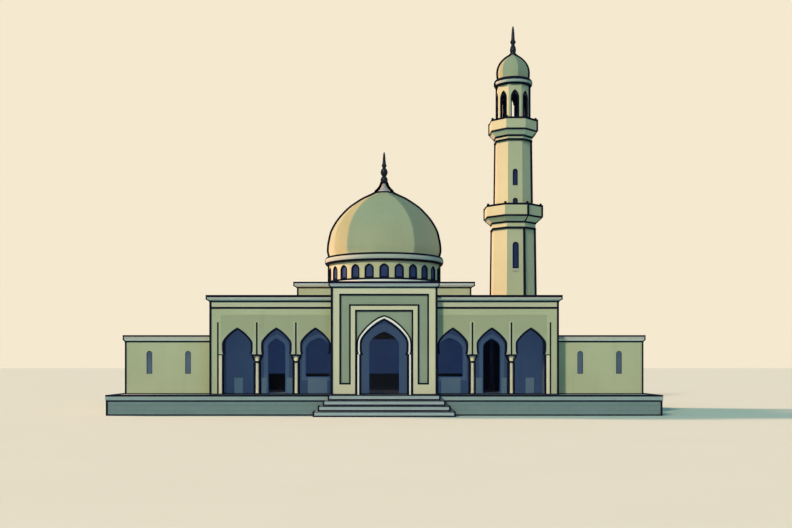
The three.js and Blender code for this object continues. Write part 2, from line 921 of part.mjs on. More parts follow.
const wingSides = { left: 0, right: 1, front: 1, rear: 1 };
const wingSlab = flaredSlab(
  wingInnerX,
  wingFrontY,
  wingOuterX,
  wingRearY,
  wingTopZ,
  wingRoofZ,
  wingCorniceOut,
  wingSides,
);
mirrored('wing_roof', wingSlab, 'stone');

export default part;
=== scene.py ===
# Looks of a domed mosque with an arcaded front, a raised portal and one minaret.
# Metres, +Z up, the front faces -Y.

from math import asin, atan2, cos, hypot, pi, radians, sin

import bmesh
import bpy
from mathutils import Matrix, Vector


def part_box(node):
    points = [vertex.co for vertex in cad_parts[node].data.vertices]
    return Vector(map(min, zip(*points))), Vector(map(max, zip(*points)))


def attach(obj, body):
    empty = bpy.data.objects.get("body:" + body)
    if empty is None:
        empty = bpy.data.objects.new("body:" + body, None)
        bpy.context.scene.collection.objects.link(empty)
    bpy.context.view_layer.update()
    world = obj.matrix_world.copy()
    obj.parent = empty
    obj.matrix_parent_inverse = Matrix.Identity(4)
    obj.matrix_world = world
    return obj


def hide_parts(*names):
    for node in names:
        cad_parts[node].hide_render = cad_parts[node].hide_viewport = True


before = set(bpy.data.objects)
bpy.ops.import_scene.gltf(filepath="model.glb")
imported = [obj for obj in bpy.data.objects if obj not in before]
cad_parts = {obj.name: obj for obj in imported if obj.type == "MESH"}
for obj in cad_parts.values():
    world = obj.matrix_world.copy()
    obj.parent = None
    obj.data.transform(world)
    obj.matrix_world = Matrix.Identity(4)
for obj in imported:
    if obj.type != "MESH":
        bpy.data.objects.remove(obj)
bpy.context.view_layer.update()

# Places read from the frame: a box is a node's lowest and highest corner, each as x, y and z

(_, FRONT, _), (HALF, ARCADE_BACK, WALL_TOP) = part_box("arcade_wall_right")
(_, PAVING_FRONT, PAVING), (_, _, FLOOR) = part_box("platform_paving")
(_, PLATFORM_FRONT, _), (PLATFORM_HALF, PLATFORM_REAR, _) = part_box("platform_base")
(_, STAIR_FRONT, _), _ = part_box("stair_flight")
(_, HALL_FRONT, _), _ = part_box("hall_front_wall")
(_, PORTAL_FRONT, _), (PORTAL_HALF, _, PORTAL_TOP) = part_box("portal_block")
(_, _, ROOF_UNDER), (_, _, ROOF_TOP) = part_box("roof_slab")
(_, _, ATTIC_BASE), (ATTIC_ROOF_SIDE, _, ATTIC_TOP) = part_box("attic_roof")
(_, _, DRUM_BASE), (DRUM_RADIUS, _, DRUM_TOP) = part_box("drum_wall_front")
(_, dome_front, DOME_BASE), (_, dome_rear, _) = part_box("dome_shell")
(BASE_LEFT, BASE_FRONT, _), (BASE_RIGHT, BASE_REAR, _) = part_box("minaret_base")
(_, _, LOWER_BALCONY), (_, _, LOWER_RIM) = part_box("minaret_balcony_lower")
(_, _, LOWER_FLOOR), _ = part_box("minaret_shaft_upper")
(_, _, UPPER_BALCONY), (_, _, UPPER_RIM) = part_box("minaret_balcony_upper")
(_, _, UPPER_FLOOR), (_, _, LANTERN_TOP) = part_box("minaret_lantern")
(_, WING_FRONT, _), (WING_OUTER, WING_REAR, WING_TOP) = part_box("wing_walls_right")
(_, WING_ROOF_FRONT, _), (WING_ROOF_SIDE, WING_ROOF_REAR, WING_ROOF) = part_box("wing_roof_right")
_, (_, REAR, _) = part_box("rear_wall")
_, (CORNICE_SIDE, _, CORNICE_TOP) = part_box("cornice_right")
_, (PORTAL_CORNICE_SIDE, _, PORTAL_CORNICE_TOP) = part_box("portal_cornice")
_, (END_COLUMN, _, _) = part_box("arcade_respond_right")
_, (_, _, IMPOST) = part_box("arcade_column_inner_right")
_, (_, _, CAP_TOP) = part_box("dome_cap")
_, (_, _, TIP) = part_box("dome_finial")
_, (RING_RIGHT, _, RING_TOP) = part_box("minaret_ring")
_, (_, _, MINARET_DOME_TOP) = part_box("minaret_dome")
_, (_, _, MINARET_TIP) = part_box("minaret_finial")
DOME_Y = (dome_front + dome_rear) / 2
MINARET_X = (BASE_LEFT + BASE_RIGHT) / 2
MINARET_Y = (BASE_FRONT + BASE_REAR) / 2
CORNICE_OUT = CORNICE_SIDE - HALF

# Sizes that the frame does not give

SIDES = (("left", -1), ("right", 1))
RECESS = 0.06
FIRST_BAY, BAY = 3.82, 2.17
BAYS = [FIRST_BAY + i * BAY for i in range(3)]
COLUMNS = (("inner", FIRST_BAY + BAY / 2), ("outer", FIRST_BAY + 1.5 * BAY))
FIELD_FACE, FIELD_SIDE, FIELD_TOP = FRONT + 0.008, 9.05, 5.55
STRIP_TOP = 5.15
RISER, STEPS = FLOOR / 4, 4
LANDING_HALF, TREAD_SIDE, TREAD_DEPTH = 3.07, 0.25, 0.32
JAMB, PORTAL_IMPOST, CORBEL_DROP = 1.36, 3.39, 0.04
REVEAL_TOP = 5.4
# A strip of the wall's face beside the portal, painted dark as a jamb's shade: its distance from the axis and
# its top
JAMB_SHADE_X, JAMB_SHADE_TOP = 2.96, 3.7
ARCHIVOLT, BAND_TAPER = 0.13, 0.25
CHANNEL_OUTER, CHANNEL_FOOT, CHANNEL_TOP = 2.43, 1.74, 6.66
CHANNEL_INNER, CHANNEL_INNER_TOP = 1.88, 6.07
SPANDREL_HALF, SPANDREL_TOP = 1.56, 5.77
SHAFT_RADIUS, NECK_Z = 0.15, 2.98
ABACUS_HALF, ABACUS_Z = 0.31, 3.255
# The minaret's radii are to the flats; the shafts taper from the first to the second
LOWER_SHAFT, UPPER_SHAFT, LANTERN = (1.385, 1.325), (1.155, 1.095), 1.0
FASCIA_SHARE = 0.65

# Openings: width, sill, springing and apex, then what share of the half width the shoulder's arc
# takes, and how far it turns

DRUM_WINDOWS, DRUM_SILL = 24, 7.93
DRUM_WINDOW = (0.55, DRUM_SILL, 8.42, 8.75)
DRUM_FRAME = (0.55, DRUM_SILL, 8.46, 8.76, 0.9, 0.8)
MAIN_DOOR = (1.80, FLOOR, 3.90, 4.75, 0.62, 0.7)
SIDE_DOOR_X, SIDE_DOOR = 6.26, (1.07, FLOOR, 3.78, 4.36)
HALL_WINDOW_X, HALL_WINDOW = 3.80, (1.60, 2.06, 3.60, 4.37)
WIDE_BAND, SLIM_BAND = 0.42, 0.20
END_DADO = (8.22, 8.72)
LANTERN_ARCH = (0.50, 18.12, 20.05, 20.55, 2.5, 0.45)
# Round-headed ones: width, sill and top
LOWER_SLIT, UPPER_SLIT = (0.38, 8.99, 10.67), (0.30, 14.36, 15.41)
BALCONY_DOOR = (0.30, LOWER_FLOOR, 13.53)
SILL_HALF, SILL_DROP = 0.2, 0.11
WING_SLIT, WING_SLIT_X = (0.32, 2.28, 3.57), (11.05, 13.23)
WING_SLIT_Y = [WING_FRONT + 1.32 + 2.18 * i for i in range(3)]
REAR_WINDOW = (0.60, 2.33, 4.34)
REAR_WINDOW_X = [-BAYS[2], -BAYS[1], -BAYS[0], -1.28, 1.28, BAYS[0], BAYS[1]]
# Shallow fields of the side and rear walls
SIDE_FIELD_FOOT, SIDE_FIELD_FRONT, SIDE_FIELD_REAR = 4.66, 1.2, 0.6
REAR_FIELD = (-6.6, 1.90, 9.0, FIELD_TOP)
# Arches that narrow at their springing: pinched half width, half width, rise, shoulder's arc and
# turn, height from the pinch to the full width, height of the straight part
ARCADE_ARCH = (0.80, 0.85, 1.495, 0.44, 0.62, 0.30, 0.55)
PORTAL_RISE = 1.94
PORTAL_ARCH = (1.29, 1.335, PORTAL_RISE, 0.76, 0.62, 0.26, 0.52)

# Dark slate lines: how far they stand out, how deep they are let in, how far a slab's rim line
# rises above the slab

PROUD, SUNK, RAISED = 0.022, 0.01, 0.004


# Outlines


def arc(cx, cz, radius, start, stop, steps, rise=None):
    """Points on an arc; with a rise it is part of an ellipse."""
    angles = [start + (stop - start) * i / steps for i in range(steps + 1)]
    return [(cx + radius * cos(a), cz + (rise or radius) * sin(a)) for a in angles]


def arc_to(start, heading, end, steps):
    """Points on the arc that leaves start in a given direction and meets end."""
    dx, dz = end[0] - start[0], end[1] - start[1]
    bend, chord = atan2(dz, dx) - heading, hypot(dx, dz)
    points = []
    for i in range(1, steps + 1):
        turn = bend * i / steps
        length, angle = chord * sin(turn) / sin(bend), heading + turn
        points.append((start[0] + length * cos(angle), start[1] + length * sin(angle)))
    return points


def half_arch(half, rise, haunch, turn, steps=8):
    """Right half of a pointed arch above its springing, up to the apex."""
    lower = arc(half - haunch, 0, haunch, 0, turn, steps)
    return lower + arc_to(lower[-1], pi / 2 + turn, (0, rise), steps)


def waisted_half(pinch, half, rise, haunch, turn, foot, straight):
    """Right half of the arch that narrows at its springing."""
    radius = ((half - pinch) ** 2 + foot**2) / (2 * (half - pinch))
    lower = arc(half - radius, foot, radius, -asin(foot / radius), 0, 8)
    return lower + moved(half_arch(half, rise - straight, haunch, turn), 0, straight)


def both_sides(right):
    """A right half, from its foot to the apex, made whole."""
    return right + [(-x, z) for x, z in reversed(right[:-1])]


def moved(points, dx, dz):
    return [(x + dx, z + dz) for x, z in points]


def pointed(centre, width, sill, springing, apex, shoulder=0.85, turn=0.95):
    """Closed outline of a pointed opening, from its right foot over the apex."""
    half = width / 2
    right = half_arch(half, apex - springing, half * shoulder, turn, 6)
    return moved(both_sides([(half, sill)] + moved(right, 0, springing)), centre, 0)


def rounded(centre, width, sill, top):
    half = width / 2
    right = arc(0, top - half, half, 0, pi / 2, 8)
    right[-1] = (0.0, top)
    return moved(both_sides([(half, sill)] + right), centre, 0)


def rectangle(x0, z0, x1, z1):
    return [(x1, z0), (x1, z1), (x0, z1), (x0, z0)]


def portal_outline(grow):
    """The doorway, or a band around it that is slimmer towards its apex."""
    side = [(JAMB + grow, FLOOR), (JAMB + grow, PORTAL_IMPOST - CORBEL_DROP)]
    for x, z in waisted_half(*PORTAL_ARCH):
        share = z / PORTAL_RISE
        outward = grow * (1 - share * BAND_TAPER) if x > 0.001 else 0
        side.append((x + outward, z + PORTAL_IMPOST + grow * share))
    return both_sides(side)


def around(x0, y0, x1, y1):
    """A rectangle in plan whose outside lies to the right of travel."""
    return [(x0, y0), (x1, y0), (x1, y1), (x0, y1)]


def plan_of(node):
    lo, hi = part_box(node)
    return around(lo.x, lo.y, hi.x, hi.y)


def corners_of(x0, y0, x1, y1):
    """The corners of a rectangle in plan, each with the way its outside lies in x and in y."""
    return [(x, y, sx, sy) for x, sx in ((x0, -1), (x1, 1)) for y, sy in ((y0, -1), (y1, 1))]


def circle(radius):
    """Round the dome's axis."""
    return arc(0.0, DOME_Y, radius, 0, 2 * pi, 128)[:-1]


def octagon(radius):
    """Corners round the minaret's axis; 0 is the left one of the flat side to the front."""
    return arc(MINARET_X, MINARET_Y, radius / cos(pi / 8), -5 * pi / 8, 11 * pi / 8, 8)[:-1]


def eased(t, a, b, c, d):
    """From b to c as t goes from 0 to 1, on a smooth way from a to d."""
    return b + 0.5 * t * (c - a + t * (2 * a - 5 * b + 4 * c - d + t * (3 * (b - c) + d - a)))


def spline(knots, steps=5):
    """A smooth curve through knots."""
    ends = [knots[0], *knots, knots[-1]]
    points = []
    for four in zip(ends, ends[1:], ends[2:], ends[3:]):
        for k in range(steps):
            points.append(tuple(eased(k / steps, *values) for values in zip(*four)))
    return points + [knots[-1]]


# Places: each turns a point along a face, its height and how far it stands out into a point


def on_front(y, sign=1):
    return lambda u, v, out: (sign * u, y - out, v)


def on_rear(y):
    return lambda u, v, out: (-u, y + out, v)


def on_flank(x, sign):
    return lambda u, v, out: (sign * (x + out), u, v)


def on_plan(u, v, out):
    return (u, v, out)


def on_drum(angle):
    """On the round wall under the dome; angle 0 is the front."""

    def place(u, v, out):
        turn, reach = angle + u / DRUM_RADIUS, DRUM_RADIUS + out
        return (reach * sin(turn), DOME_Y - reach * cos(turn), v)

    return place


def on_facet(index, radius, last=0.0, foot=0.0, top=1.0):
    """On one of the minaret's eight sides; 0 is the front. A last radius makes it lean."""
    sine, cosine = sin(pi / 4 * index), cos(pi / 4 * index)
    lean = (radius - last) / (top - foot) if last else 0.0

    def place(u, v, out):
        reach = radius - lean * (v - foot) + out
        return (MINARET_X + reach * sine + u * cosine, MINARET_Y - reach * cosine + u * sine, v)

    return place


# Solids


def loft(bm, rings, loop=False):
    """Joins closed rings of points into one skin, with flat ends unless it loops."""
    made = [[bm.verts.new(point) for point in ring] for ring in rings]
    pairs = list(zip(made, made[1:])) + ([(made[-1], made[0])] if loop else [])
    for first, second in pairs:
        for i in range(len(first)):
            j = (i + 1) % len(first)
            bm.faces.new((first[i], first[j], second[j], second[i]))
    if not loop:
        bm.faces.new(list(reversed(made[0])))
        bm.faces.new(made[-1])


def box(bm, x0, y0, z0, x1, y1, z1):
    loft(bm, [[(x, y, z) for x, y in around(x0, y0, x1, y1)] for z in (z0, z1)])


def mitred(path, closed):
    """For each corner of a flat path: the point and its stretched normal, to the right of travel."""
    corners = []
    count = len(path)
    for i, point in enumerate(path):
        normals = []
        for a, b in ((i - 1, i), (i, i + 1)):
            if closed or (a >= 0 and b < count):
                dx = path[b % count][0] - path[a % count][0]
                dz = path[b % count][1] - path[a % count][1]
                length = hypot(dx, dz)
                normals.append((dz / length, -dx / length))
        nx, nz = (sum(parts) / len(normals) for parts in zip(*normals))
        stretch = nx * nx + nz * nz
        corners.append((point, (nx / stretch, nz / stretch)))
    return corners


def run(bm, path, section, place, closed=False):
    """Carries a closed section of (side, out) along a flat path; side is to the right of travel."""
    rings = []
    for (u, v), (nu, nv) in mitred(path, closed):
        rings.append([place(u + nu * side, v + nv * side, out) for side, out in section])
    loft(bm, rings, closed)


def line_section(near, far, proud, back):
    """A line's section with softened edges."""
    soft = min((far - near) / 4, 0.02)
    edge = proud - soft * 0.6
    return [(near, -back), (far, -back), (far, edge), (far - soft, proud), (near + soft, proud), (near, edge)]


def bead(bm, path, place, near, far, proud=PROUD, back=SUNK, closed=False):
    """A line along a path on a face, from near to far beside the path."""
    run(bm, path, line_section(near, far, proud, back), place, closed)


def course(bm, plan, bottom, top, proud, closed=True):
    """A level line along a path in plan, standing out to the right of travel."""
    first, *others = line_section(bottom, top, proud, SUNK)
    run(bm, plan, [(out, z) for z, out in (first, *reversed(others))], on_plan, closed)


def rim(bm, plan, top, height, proud, closed=True):
    """A course round the top edge of a slab."""
    course(bm, plan, top - height, top + RAISED, proud, closed)


def corner_line(bm, x, y, sx, sy, bottom, top, width=0.07, proud=0.03):
    """An upright line that wraps the outer corner of two walls."""
    x0, x1 = sorted((x - sx * width, x + sx * proud))
    y0, y1 = sorted((y - sy * width, y + sy * proud))
    box(bm, x0, y0, bottom, x1, y1, top)


def corner(bm, x, y, sx, sy, foot, top, roof, out, width=0.06, proud=0.03):
    """A line up a corner to top, then out under the cornice and up its fascia to roof."""
    corner_line(bm, x, y, sx, sy, foot, top, width, proud)
    knee, reach = roof - FASCIA_SHARE * (roof - top), out + 0.004
    rod(bm, (x, y, top), (x + sx * reach, y + sy * reach, knee), 0.035)
    corner_line(bm, x + sx * out, y + sy * out, sx, sy, knee - 0.02, roof, 0.05, 0.014)


def swept(profile, x, y, angles):
    return [[(x + r * cos(a), y + r * sin(a), z) for r, z in profile] for a in angles]


def turned(bm, profile, x, y, segments):
    """A closed profile of radius and height turned about an upright axis."""
    loft(bm, swept(profile, x, y, [2 * pi * i / segments for i in range(segments)]), True)
    bmesh.ops.remove_doubles(bm, verts=bm.verts, dist=1e-5)


def rod(bm, start, end, first, last=None):
    """A round bar between two points that may taper."""
    axis = (Vector(end) - Vector(start)).normalized()
    across = axis.cross(Vector((0, 0, 1)) if abs(axis.z) < 0.9 else Vector((1, 0, 0))).normalized()
    other = axis.cross(across)
    turns = [(cos(pi * i / 5), sin(pi * i / 5)) for i in range(10)]
    ends = ((Vector(start), first), (Vector(end), last or first))
    loft(bm, [[point + radius * (c * across + s * other) for c, s in turns] for point, radius in ends])


def pane(bm, outline, place, front, back):
    """A plate of the outline between two distances from the face."""
    loft(bm, [[place(u, v, out) for u, v in outline] for out in (back, front)])


def added(name, data):
    obj = bpy.data.objects.new(name, data)
    bpy.context.scene.collection.objects.link(obj)
    return obj


def from_mesh(name, bm, material):
    mesh = bpy.data.meshes.new(name)
    bm.to_mesh(mesh)
    bm.free()
    mesh.materials.append(material)
    return added(name, mesh)


def soften(obj, width, sharp):
    """Rounds the edges that are sharper than an angle in degrees."""
    edges = obj.modifiers.new("edges", "BEVEL")
    edges.width, edges.segments = width, 2
    edges.limit_method, edges.angle_limit = "ANGLE", radians(sharp)


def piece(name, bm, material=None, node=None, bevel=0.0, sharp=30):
    """Makes an object, slate unless told, that rides with the building and may stand for a node."""
    bmesh.ops.dissolve_degenerate(bm, dist=1e-6, edges=bm.edges)
    bmesh.ops.recalc_face_normals(bm, faces=bm.faces)
    for face in bm.faces:
        face.smooth = True
    for edge in bm.edges:
        edge.smooth = len(edge.link_faces) == 2 and edge.calc_face_angle(0) < radians(sharp)
    obj = from_mesh(name, bm, material or SLATE)
    if bevel:
        soften(obj, bevel, 40)
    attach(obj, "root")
    if node:
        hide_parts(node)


# Light: what falls on a face that looks at the front, used to set the paint. In the portico a fifth
# of the ambient light is left.

AMBIENT = (0.22, 0.38, 0.36)
KEY, KEY_FROM = (0.84, 0.68, 0.38), Vector((-0.53, -0.85, 0.62)).normalized()
RIM, RIM_FROM = (2.70, 1.30, 0.85), Vector((-1.0, 0.27, 0.5)).normalized()
FILL, FILL_FROM = (0.10, 0.16, 0.28), Vector((0.5, -0.8, 0.33)).normalized()
FILL_ON_FLOORS = -FILL_FROM.z / FILL_FROM.y
# Only one of the two fills reaches a side wall, which makes 0.5; 0.9 fits the drawing
FILL_ON_SIDES = -0.9 * FILL_FROM.x / FILL_FROM.y
FRONT_LIGHT = [a - KEY_FROM.y * k + f for a, k, f in zip(AMBIENT, KEY, FILL)]
SHADE_LIGHT = [0.2 * a + f for a, f in zip(AMBIENT, FILL)]
FLOOR_LIGHT = [
    a + KEY_FROM.z * k + RIM_FROM.z * r + FILL_ON_FLOORS * f
    for a, k, r, f in zip(AMBIENT, KEY, RIM, FILL)
]
# The domes have level lamps of their own; each lights the half that looks towards it, so that its
# light ends along an upright curve from the foot to the top. Degrees are from the front, to the left:
# for the great dome, then for the minaret's dome, which the camera sees from further left.
DOME_LAMPS = {
    "key": (54, 73, (0.44, 0.534, 0.337)),
    "rim": (125.5, 136, (1.27, 0.515, 0.066)),
    "edge": (147, 154, (0.463, 0.408, 0.433)),
}


def linear(value):
    """A display tone from 0 to 255 as light."""
    value = value / 255
    return value / 12.92 if value <= 0.04045 else ((value + 0.055) / 1.055) ** 2.4


def tone(red, green, blue):
    return (linear(red), linear(green), linear(blue), 1.0)


def painted(light, *wanted):
    """The paint that shows a tone under a light."""
    return tuple(min(0.88, linear(value) / falls) for value, falls in zip(wanted, light)) + (1.0,)


def sunlit(*wanted):
    return painted(FRONT_LIGHT, *wanted)


def shaded(*wanted):
    return painted(SHADE_LIGHT, *wanted)


def unlit(*wanted, share=1.0):
    return painted([share * f for f in FILL], *wanted)


def scaled(colour, share):
    return tuple(share * v for v in colour[:3]) + (1.0,)


# Materials


class Finish:
    """A node material around one Principled shader."""

    def __init__(self, name, roughness=0.8, specular=0.25):
        self.material = bpy.data.materials.new(name)
        self.material.use_nodes = True
        self.tree = self.material.node_tree
        self.shader = self.tree.nodes["Principled BSDF"]
        self.feed(self.shader, {"Roughness": roughness, "Specular IOR Level": specular})
        self.coordinates = self.node("ShaderNodeTexCoord").outputs["Object"]

    def feed(self, node, sockets):
        """Sets or links a node's inputs, given by name or number."""
        for key, value in dict(sockets).items():
            if isinstance(value, bpy.types.NodeSocket):
                self.tree.links.new(value, node.inputs[key])
            else:
                node.inputs[key].default_value = value

    def node(self, kind, sockets=(), **settings):
        made = self.tree.nodes.new(kind)
        for key, value in settings.items():
            setattr(made, key, value)
        self.feed(made, sockets)
        return made

    def noise(self, scale, detail, upright=1.0):
        """Below 1, upright stretches the clouds into streaks that run down."""
        mapping = self.node("ShaderNodeMapping", {"Vector": self.coordinates, "Scale": (1, 1, upright)})
        sockets = {"Vector": mapping.outputs[0], "Scale": scale, "Detail": detail, "Roughness": 0.55}
        return self.node("ShaderNodeTexNoise", sockets).outputs["Fac"]

    def span(self, value, low_in, high_in, low_out=0.0, high_out=1.0):
        sockets = enumerate((value, low_in, high_in, low_out, high_out))
        return self.node("ShaderNodeMapRange", sockets).outputs["Result"]

    def clouds(self, scale, detail, low_in, high_in, low_out=0.0, high_out=1.0, upright=1.0):
        return self.span(self.noise(scale, detail, upright), low_in, high_in, low_out, high_out)

    def math(self, operation, *values):
        return self.node("ShaderNodeMath", enumerate(values), operation=operation).outputs[0]

    def mix(self, factor, first, second, blend="MIX"):
        """Of a Mix node's inputs, 6 and 7 are its colours; output 2 is the mixed one."""
        sockets = {0: factor, 6: first, 7: second}
        return self.node("ShaderNodeMix", sockets, data_type="RGBA", blend_type=blend).outputs[2]

    def axes(self):
        return self.node("ShaderNodeSeparateXYZ", {0: self.coordinates}).outputs

    def between(self, value, lo, hi):
        above, below = self.math("GREATER_THAN", value, lo), self.math("LESS_THAN", value, hi)
        return self.math("MULTIPLY", above, below)

    def inside(self, x_range, y_range, z_range):
        """1 where a point lies inside a block, else 0."""
        x, y, z = (self.between(v, *r) for v, r in zip(self.axes(), (x_range, y_range, z_range)))
        return self.math("MULTIPLY", self.math("MULTIPLY", x, y), z)

    def near_minaret(self, radius, bottom, top):
        """1 inside an upright cylinder round the minaret's axis, else 0."""
        x, y, z = self.axes()
        dx, dy = self.math("SUBTRACT", x, MINARET_X), self.math("SUBTRACT", y, MINARET_Y)
        square = self.math("ADD", self.math("MULTIPLY", dx, dx), self.math("MULTIPLY", dy, dy))
        within = self.math("LESS_THAN", square, radius * radius)
        return self.math("MULTIPLY", within, self.between(z, bottom, top))

    def zoned(self, colour, zones):
        for *ranges, paint in zones:
            colour = self.mix(self.inside(*ranges), colour, paint)
        return colour

    def stepped(self, colour, size, smooth, share):
        """Lets most of the light fall in even areas with crisp edges, as on matt render."""
        sockets = {"Color": colour, "Size": size, "Smooth": smooth}
        toon = self.node("ShaderNodeBsdfToon", sockets, component="DIFFUSE")
        sockets = {0: share, 1: self.shader.outputs["BSDF"], 2: toon.outputs["BSDF"]}
        both = self.node("ShaderNodeMixShader", sockets)
        self.feed(self.tree.nodes["Material Output"], {"Surface": both.outputs["Shader"]})

    def done(self, colour, height, distance, strength, rough=None):
        """Feeds the shader its colour, relief and perhaps its roughness."""
        bump = self.node("ShaderNodeBump", {"Height": height, "Distance": distance, "Strength": strength})
        self.feed(self.shader, {"Base Color": colour, "Normal": bump.outputs["Normal"]})
        if rough:
            self.feed(self.shader, {"Roughness": rough})
        return self.material


def plaster(name, base, zones=(), grime=0.30, roughness=0.82, fall=None, core=None):
    """Lime plaster: cloudy tone, rain streaks, fine grain and a trowelled surface."""
    made = Finish(name, roughness)
    colour = made.mix(made.clouds(0.45, 5.0, 0.35, 0.68), base, scaled(base, 0.93))
    if fall:
        bottom, top, shade = fall
        colour = made.mix(made.span(made.axes()[2], bottom, top), colour, shade)
    # Zones paint blocks in other tones; among them are the painted shade inside the portico, the hall and
    # beside the portal, and the painted light under the cornices
    colour = made.zoned(colour, zones)
    # A core paints a cylinder round the minaret's axis; it carries the painted shade inside the lantern
    if core:
        *cylinder, paint = core
        colour = made.mix(made.near_minaret(*cylinder), colour, paint)
    dark = made.mix(1.0, colour, (0.70, 0.76, 0.76, 1.0), "MULTIPLY")
    colour = made.mix(made.clouds(2.2, 5.0, 0.56, 0.80, 0.0, grime, 0.12), colour, dark)
    grain = made.noise(38.0, 4.0)
    colour = made.mix(made.span(grain, 0.35, 0.75, 0.0, 0.10), colour, dark)
    trowel = made.math("ADD", made.noise(1.6, 3.0), made.math("MULTIPLY", grain, 0.25))
    rough = made.clouds(3.0, 3.0, 0.3, 0.7, roughness - 0.06, roughness + 0.08)
    return made.done(colour, trowel, 0.010, 0.5, rough)


def block_stone(name, base, length, course_height, on_walls=False, zones=()):
    """Stone in blocks: each a little lighter or darker, with thin joints and a fine grain."""
    made = Finish(name, 0.74)
    x, y, z = made.axes()
    along = {"X": made.math("ADD", x, y), "Y": z} if on_walls else {"X": x, "Y": y}
    sockets = {
        "Vector": made.node("ShaderNodeCombineXYZ", along).outputs["Vector"],
        "Scale": 1.0,
        "Mortar Size": 0.010,
        "Mortar Smooth": 0.3,
        "Brick Width": length,
        "Row Height": course_height,
        "Color1": base,
        "Color2": scaled(base, 0.94),
        "Mortar": scaled(base, 0.80),
    }
    bricks = made.node("ShaderNodeTexBrick", sockets, offset=0.5, squash=1.0)
    colour = made.zoned(bricks.outputs["Color"], zones)
    dark = made.mix(1.0, colour, (0.78, 0.82, 0.82, 1.0), "MULTIPLY")
    colour = made.mix(made.clouds(1.3, 5.0, 0.4, 0.75, 0.0, 0.30), colour, dark)
    grain = made.math("MULTIPLY", made.noise(26.0, 5.0), 0.3)
    return made.done(colour, made.math("SUBTRACT", grain, bricks.outputs["Fac"]), 0.008, 0.6)


def slate(name, base):
    """Dark slate inlay with a cleft surface and worn, paler spots."""
    made = Finish(name, 0.8, 0.06)
    colour = made.mix(made.clouds(4.0, 5.0, 0.55, 0.80, 0.0, 0.5), base, scaled(base, 1.7))
    rough = made.clouds(7.0, 3.0, 0.3, 0.7, 0.7, 0.9)
    return made.done(colour, made.noise(24.0, 4.0), 0.004, 0.5, rough)


def dome_skin(name, base):
    """Smooth lime render with soft weathering that runs down from the top."""
    made = Finish(name, 0.62, 0.28)
    colour = made.mix(made.clouds(0.7, 5.0, 0.38, 0.7, upright=0.45), base, scaled(base, 0.93))
    dark = made.mix(1.0, colour, (0.76, 0.82, 0.80, 1.0), "MULTIPLY")
    colour = made.mix(made.clouds(3.4, 4.0, 0.58, 0.82, 0.0, 0.28, 0.10), colour, dark)
    made.stepped(colour, 0.94, 0.02, 0.85)
    return made.done(colour, made.noise(2.2, 4.0), 0.010, 0.35)


def patina(name, base, shade):
    made = Finish(name, 0.4, 0.2)
    colour = made.mix(made.clouds(9.0, 5.0, 0.4, 0.7), base, shade)
    rough = made.clouds(6.0, 3.0, 0.3, 0.7, 0.35, 0.6)
    return made.done(colour, made.noise(30.0, 3.0), 0.003, 0.4, rough)


def dark_glass(name, base, roughness=0.35, specular=0.15, spread=1.35):
    made = Finish(name, roughness, specular)
    colour = made.mix(made.clouds(0.9, 2.0, 0.3, 0.7), base, scaled(base, spread))
    return made.done(colour, made.noise(1.4, 2.0), 0.004, 0.3)


# Zones: ranges of x, y and z and the paint inside them


def widened(lo, hi, by):
    return (lo - by, hi + by)


def level_zone(bottom, top, paint):
    """All round the building between two heights."""
    return ((-20.0, 20.0), (-20.0, 20.0), (bottom, top), paint)


# Painted shade: inside the portico and the hall, on the portal's reveals and on the floors there, the paint
# is a dark blue that stands for the shade; each tone is set to show under the little light that reaches it
PORTICO_SHADE, REVEAL_SHADE, HALL_SHADE = shaded(42, 60, 86), shaded(55, 74, 97), unlit(28, 45, 76)
inner_height = widened(FLOOR, ROOF_UNDER, 0.1)
inner_width = widened(-END_COLUMN, END_COLUMN, 0.02)
floor_height = widened(FLOOR, FLOOR, 0.05)
floor_width = widened(-END_COLUMN, END_COLUMN, 0.5)
hall_shade_zone = (inner_width, (HALL_FRONT + 0.02, REAR - 0.32), inner_height, HALL_SHADE)
portico_depth = (FRONT + RECESS + 0.015, HALL_FRONT + 0.2)
inner_shade_zones = [(inner_width, portico_depth, inner_height, PORTICO_SHADE), hall_shade_zone]
floor_shade_zones = [
    (floor_width, (FRONT + 0.02, HALL_FRONT), floor_height, tone(22, 30, 58)),
    (floor_width, (HALL_FRONT, REAR - 0.1), floor_height, unlit(29, 46, 81, share=FILL_ON_FLOORS)),
]
behind = ARCADE_BACK + 0.1
reveal_depth, back_depth = (PORTAL_FRONT + RECESS + 0.02, behind), (ARCADE_BACK - 0.05, behind)
# Painted shade: the portal's doorway reveals and its part behind the arcade are painted in the portico's dark
# blue
portal_shade_zones = [
    (widened(-JAMB, JAMB, 0.05), reveal_depth, (FLOOR - 0.1, REVEAL_TOP), REVEAL_SHADE),
    (widened(-PORTAL_HALF, PORTAL_HALF, 0.1), back_depth, (FLOOR - 0.1, ROOF_UNDER), PORTICO_SHADE),
]
# The minaret's base shows its left side in the hall, painted in the hall's dark tone as painted shade; beside
# the portal a narrow strip of the wall's lit face is painted dark blue as the painted shade of a jamb
base_width, base_depth = (BASE_LEFT - 0.03, BASE_LEFT + 0.02), (BASE_FRONT - 0.01, BASE_REAR)
base_shade_zone = (base_width, base_depth, inner_height, unlit(28, 45, 76, share=FILL_ON_SIDES))
jamb_shade_zones = [
    (widened(x, x, 0.08), widened(FRONT, FRONT, 0.05), (FLOOR - 0.1, JAMB_SHADE_TOP), sunlit(32, 45, 77))
    for x in (-JAMB_SHADE_X, JAMB_SHADE_X)
]
# Painted light: the sloping undersides of the cornices face down into shade and are painted near white, so
# that they show pale
soffit_light_zones = [
    level_zone(bottom, top - FASCIA_SHARE * (top - bottom), (0.88, 0.88, 0.76, 1.0))
    for bottom, top in (
        (WALL_TOP, CORNICE_TOP),
        (ATTIC_BASE, ATTIC_TOP),
        (WING_TOP, WING_ROOF),
        (PORTAL_TOP, PORTAL_CORNICE_TOP),
    )
]
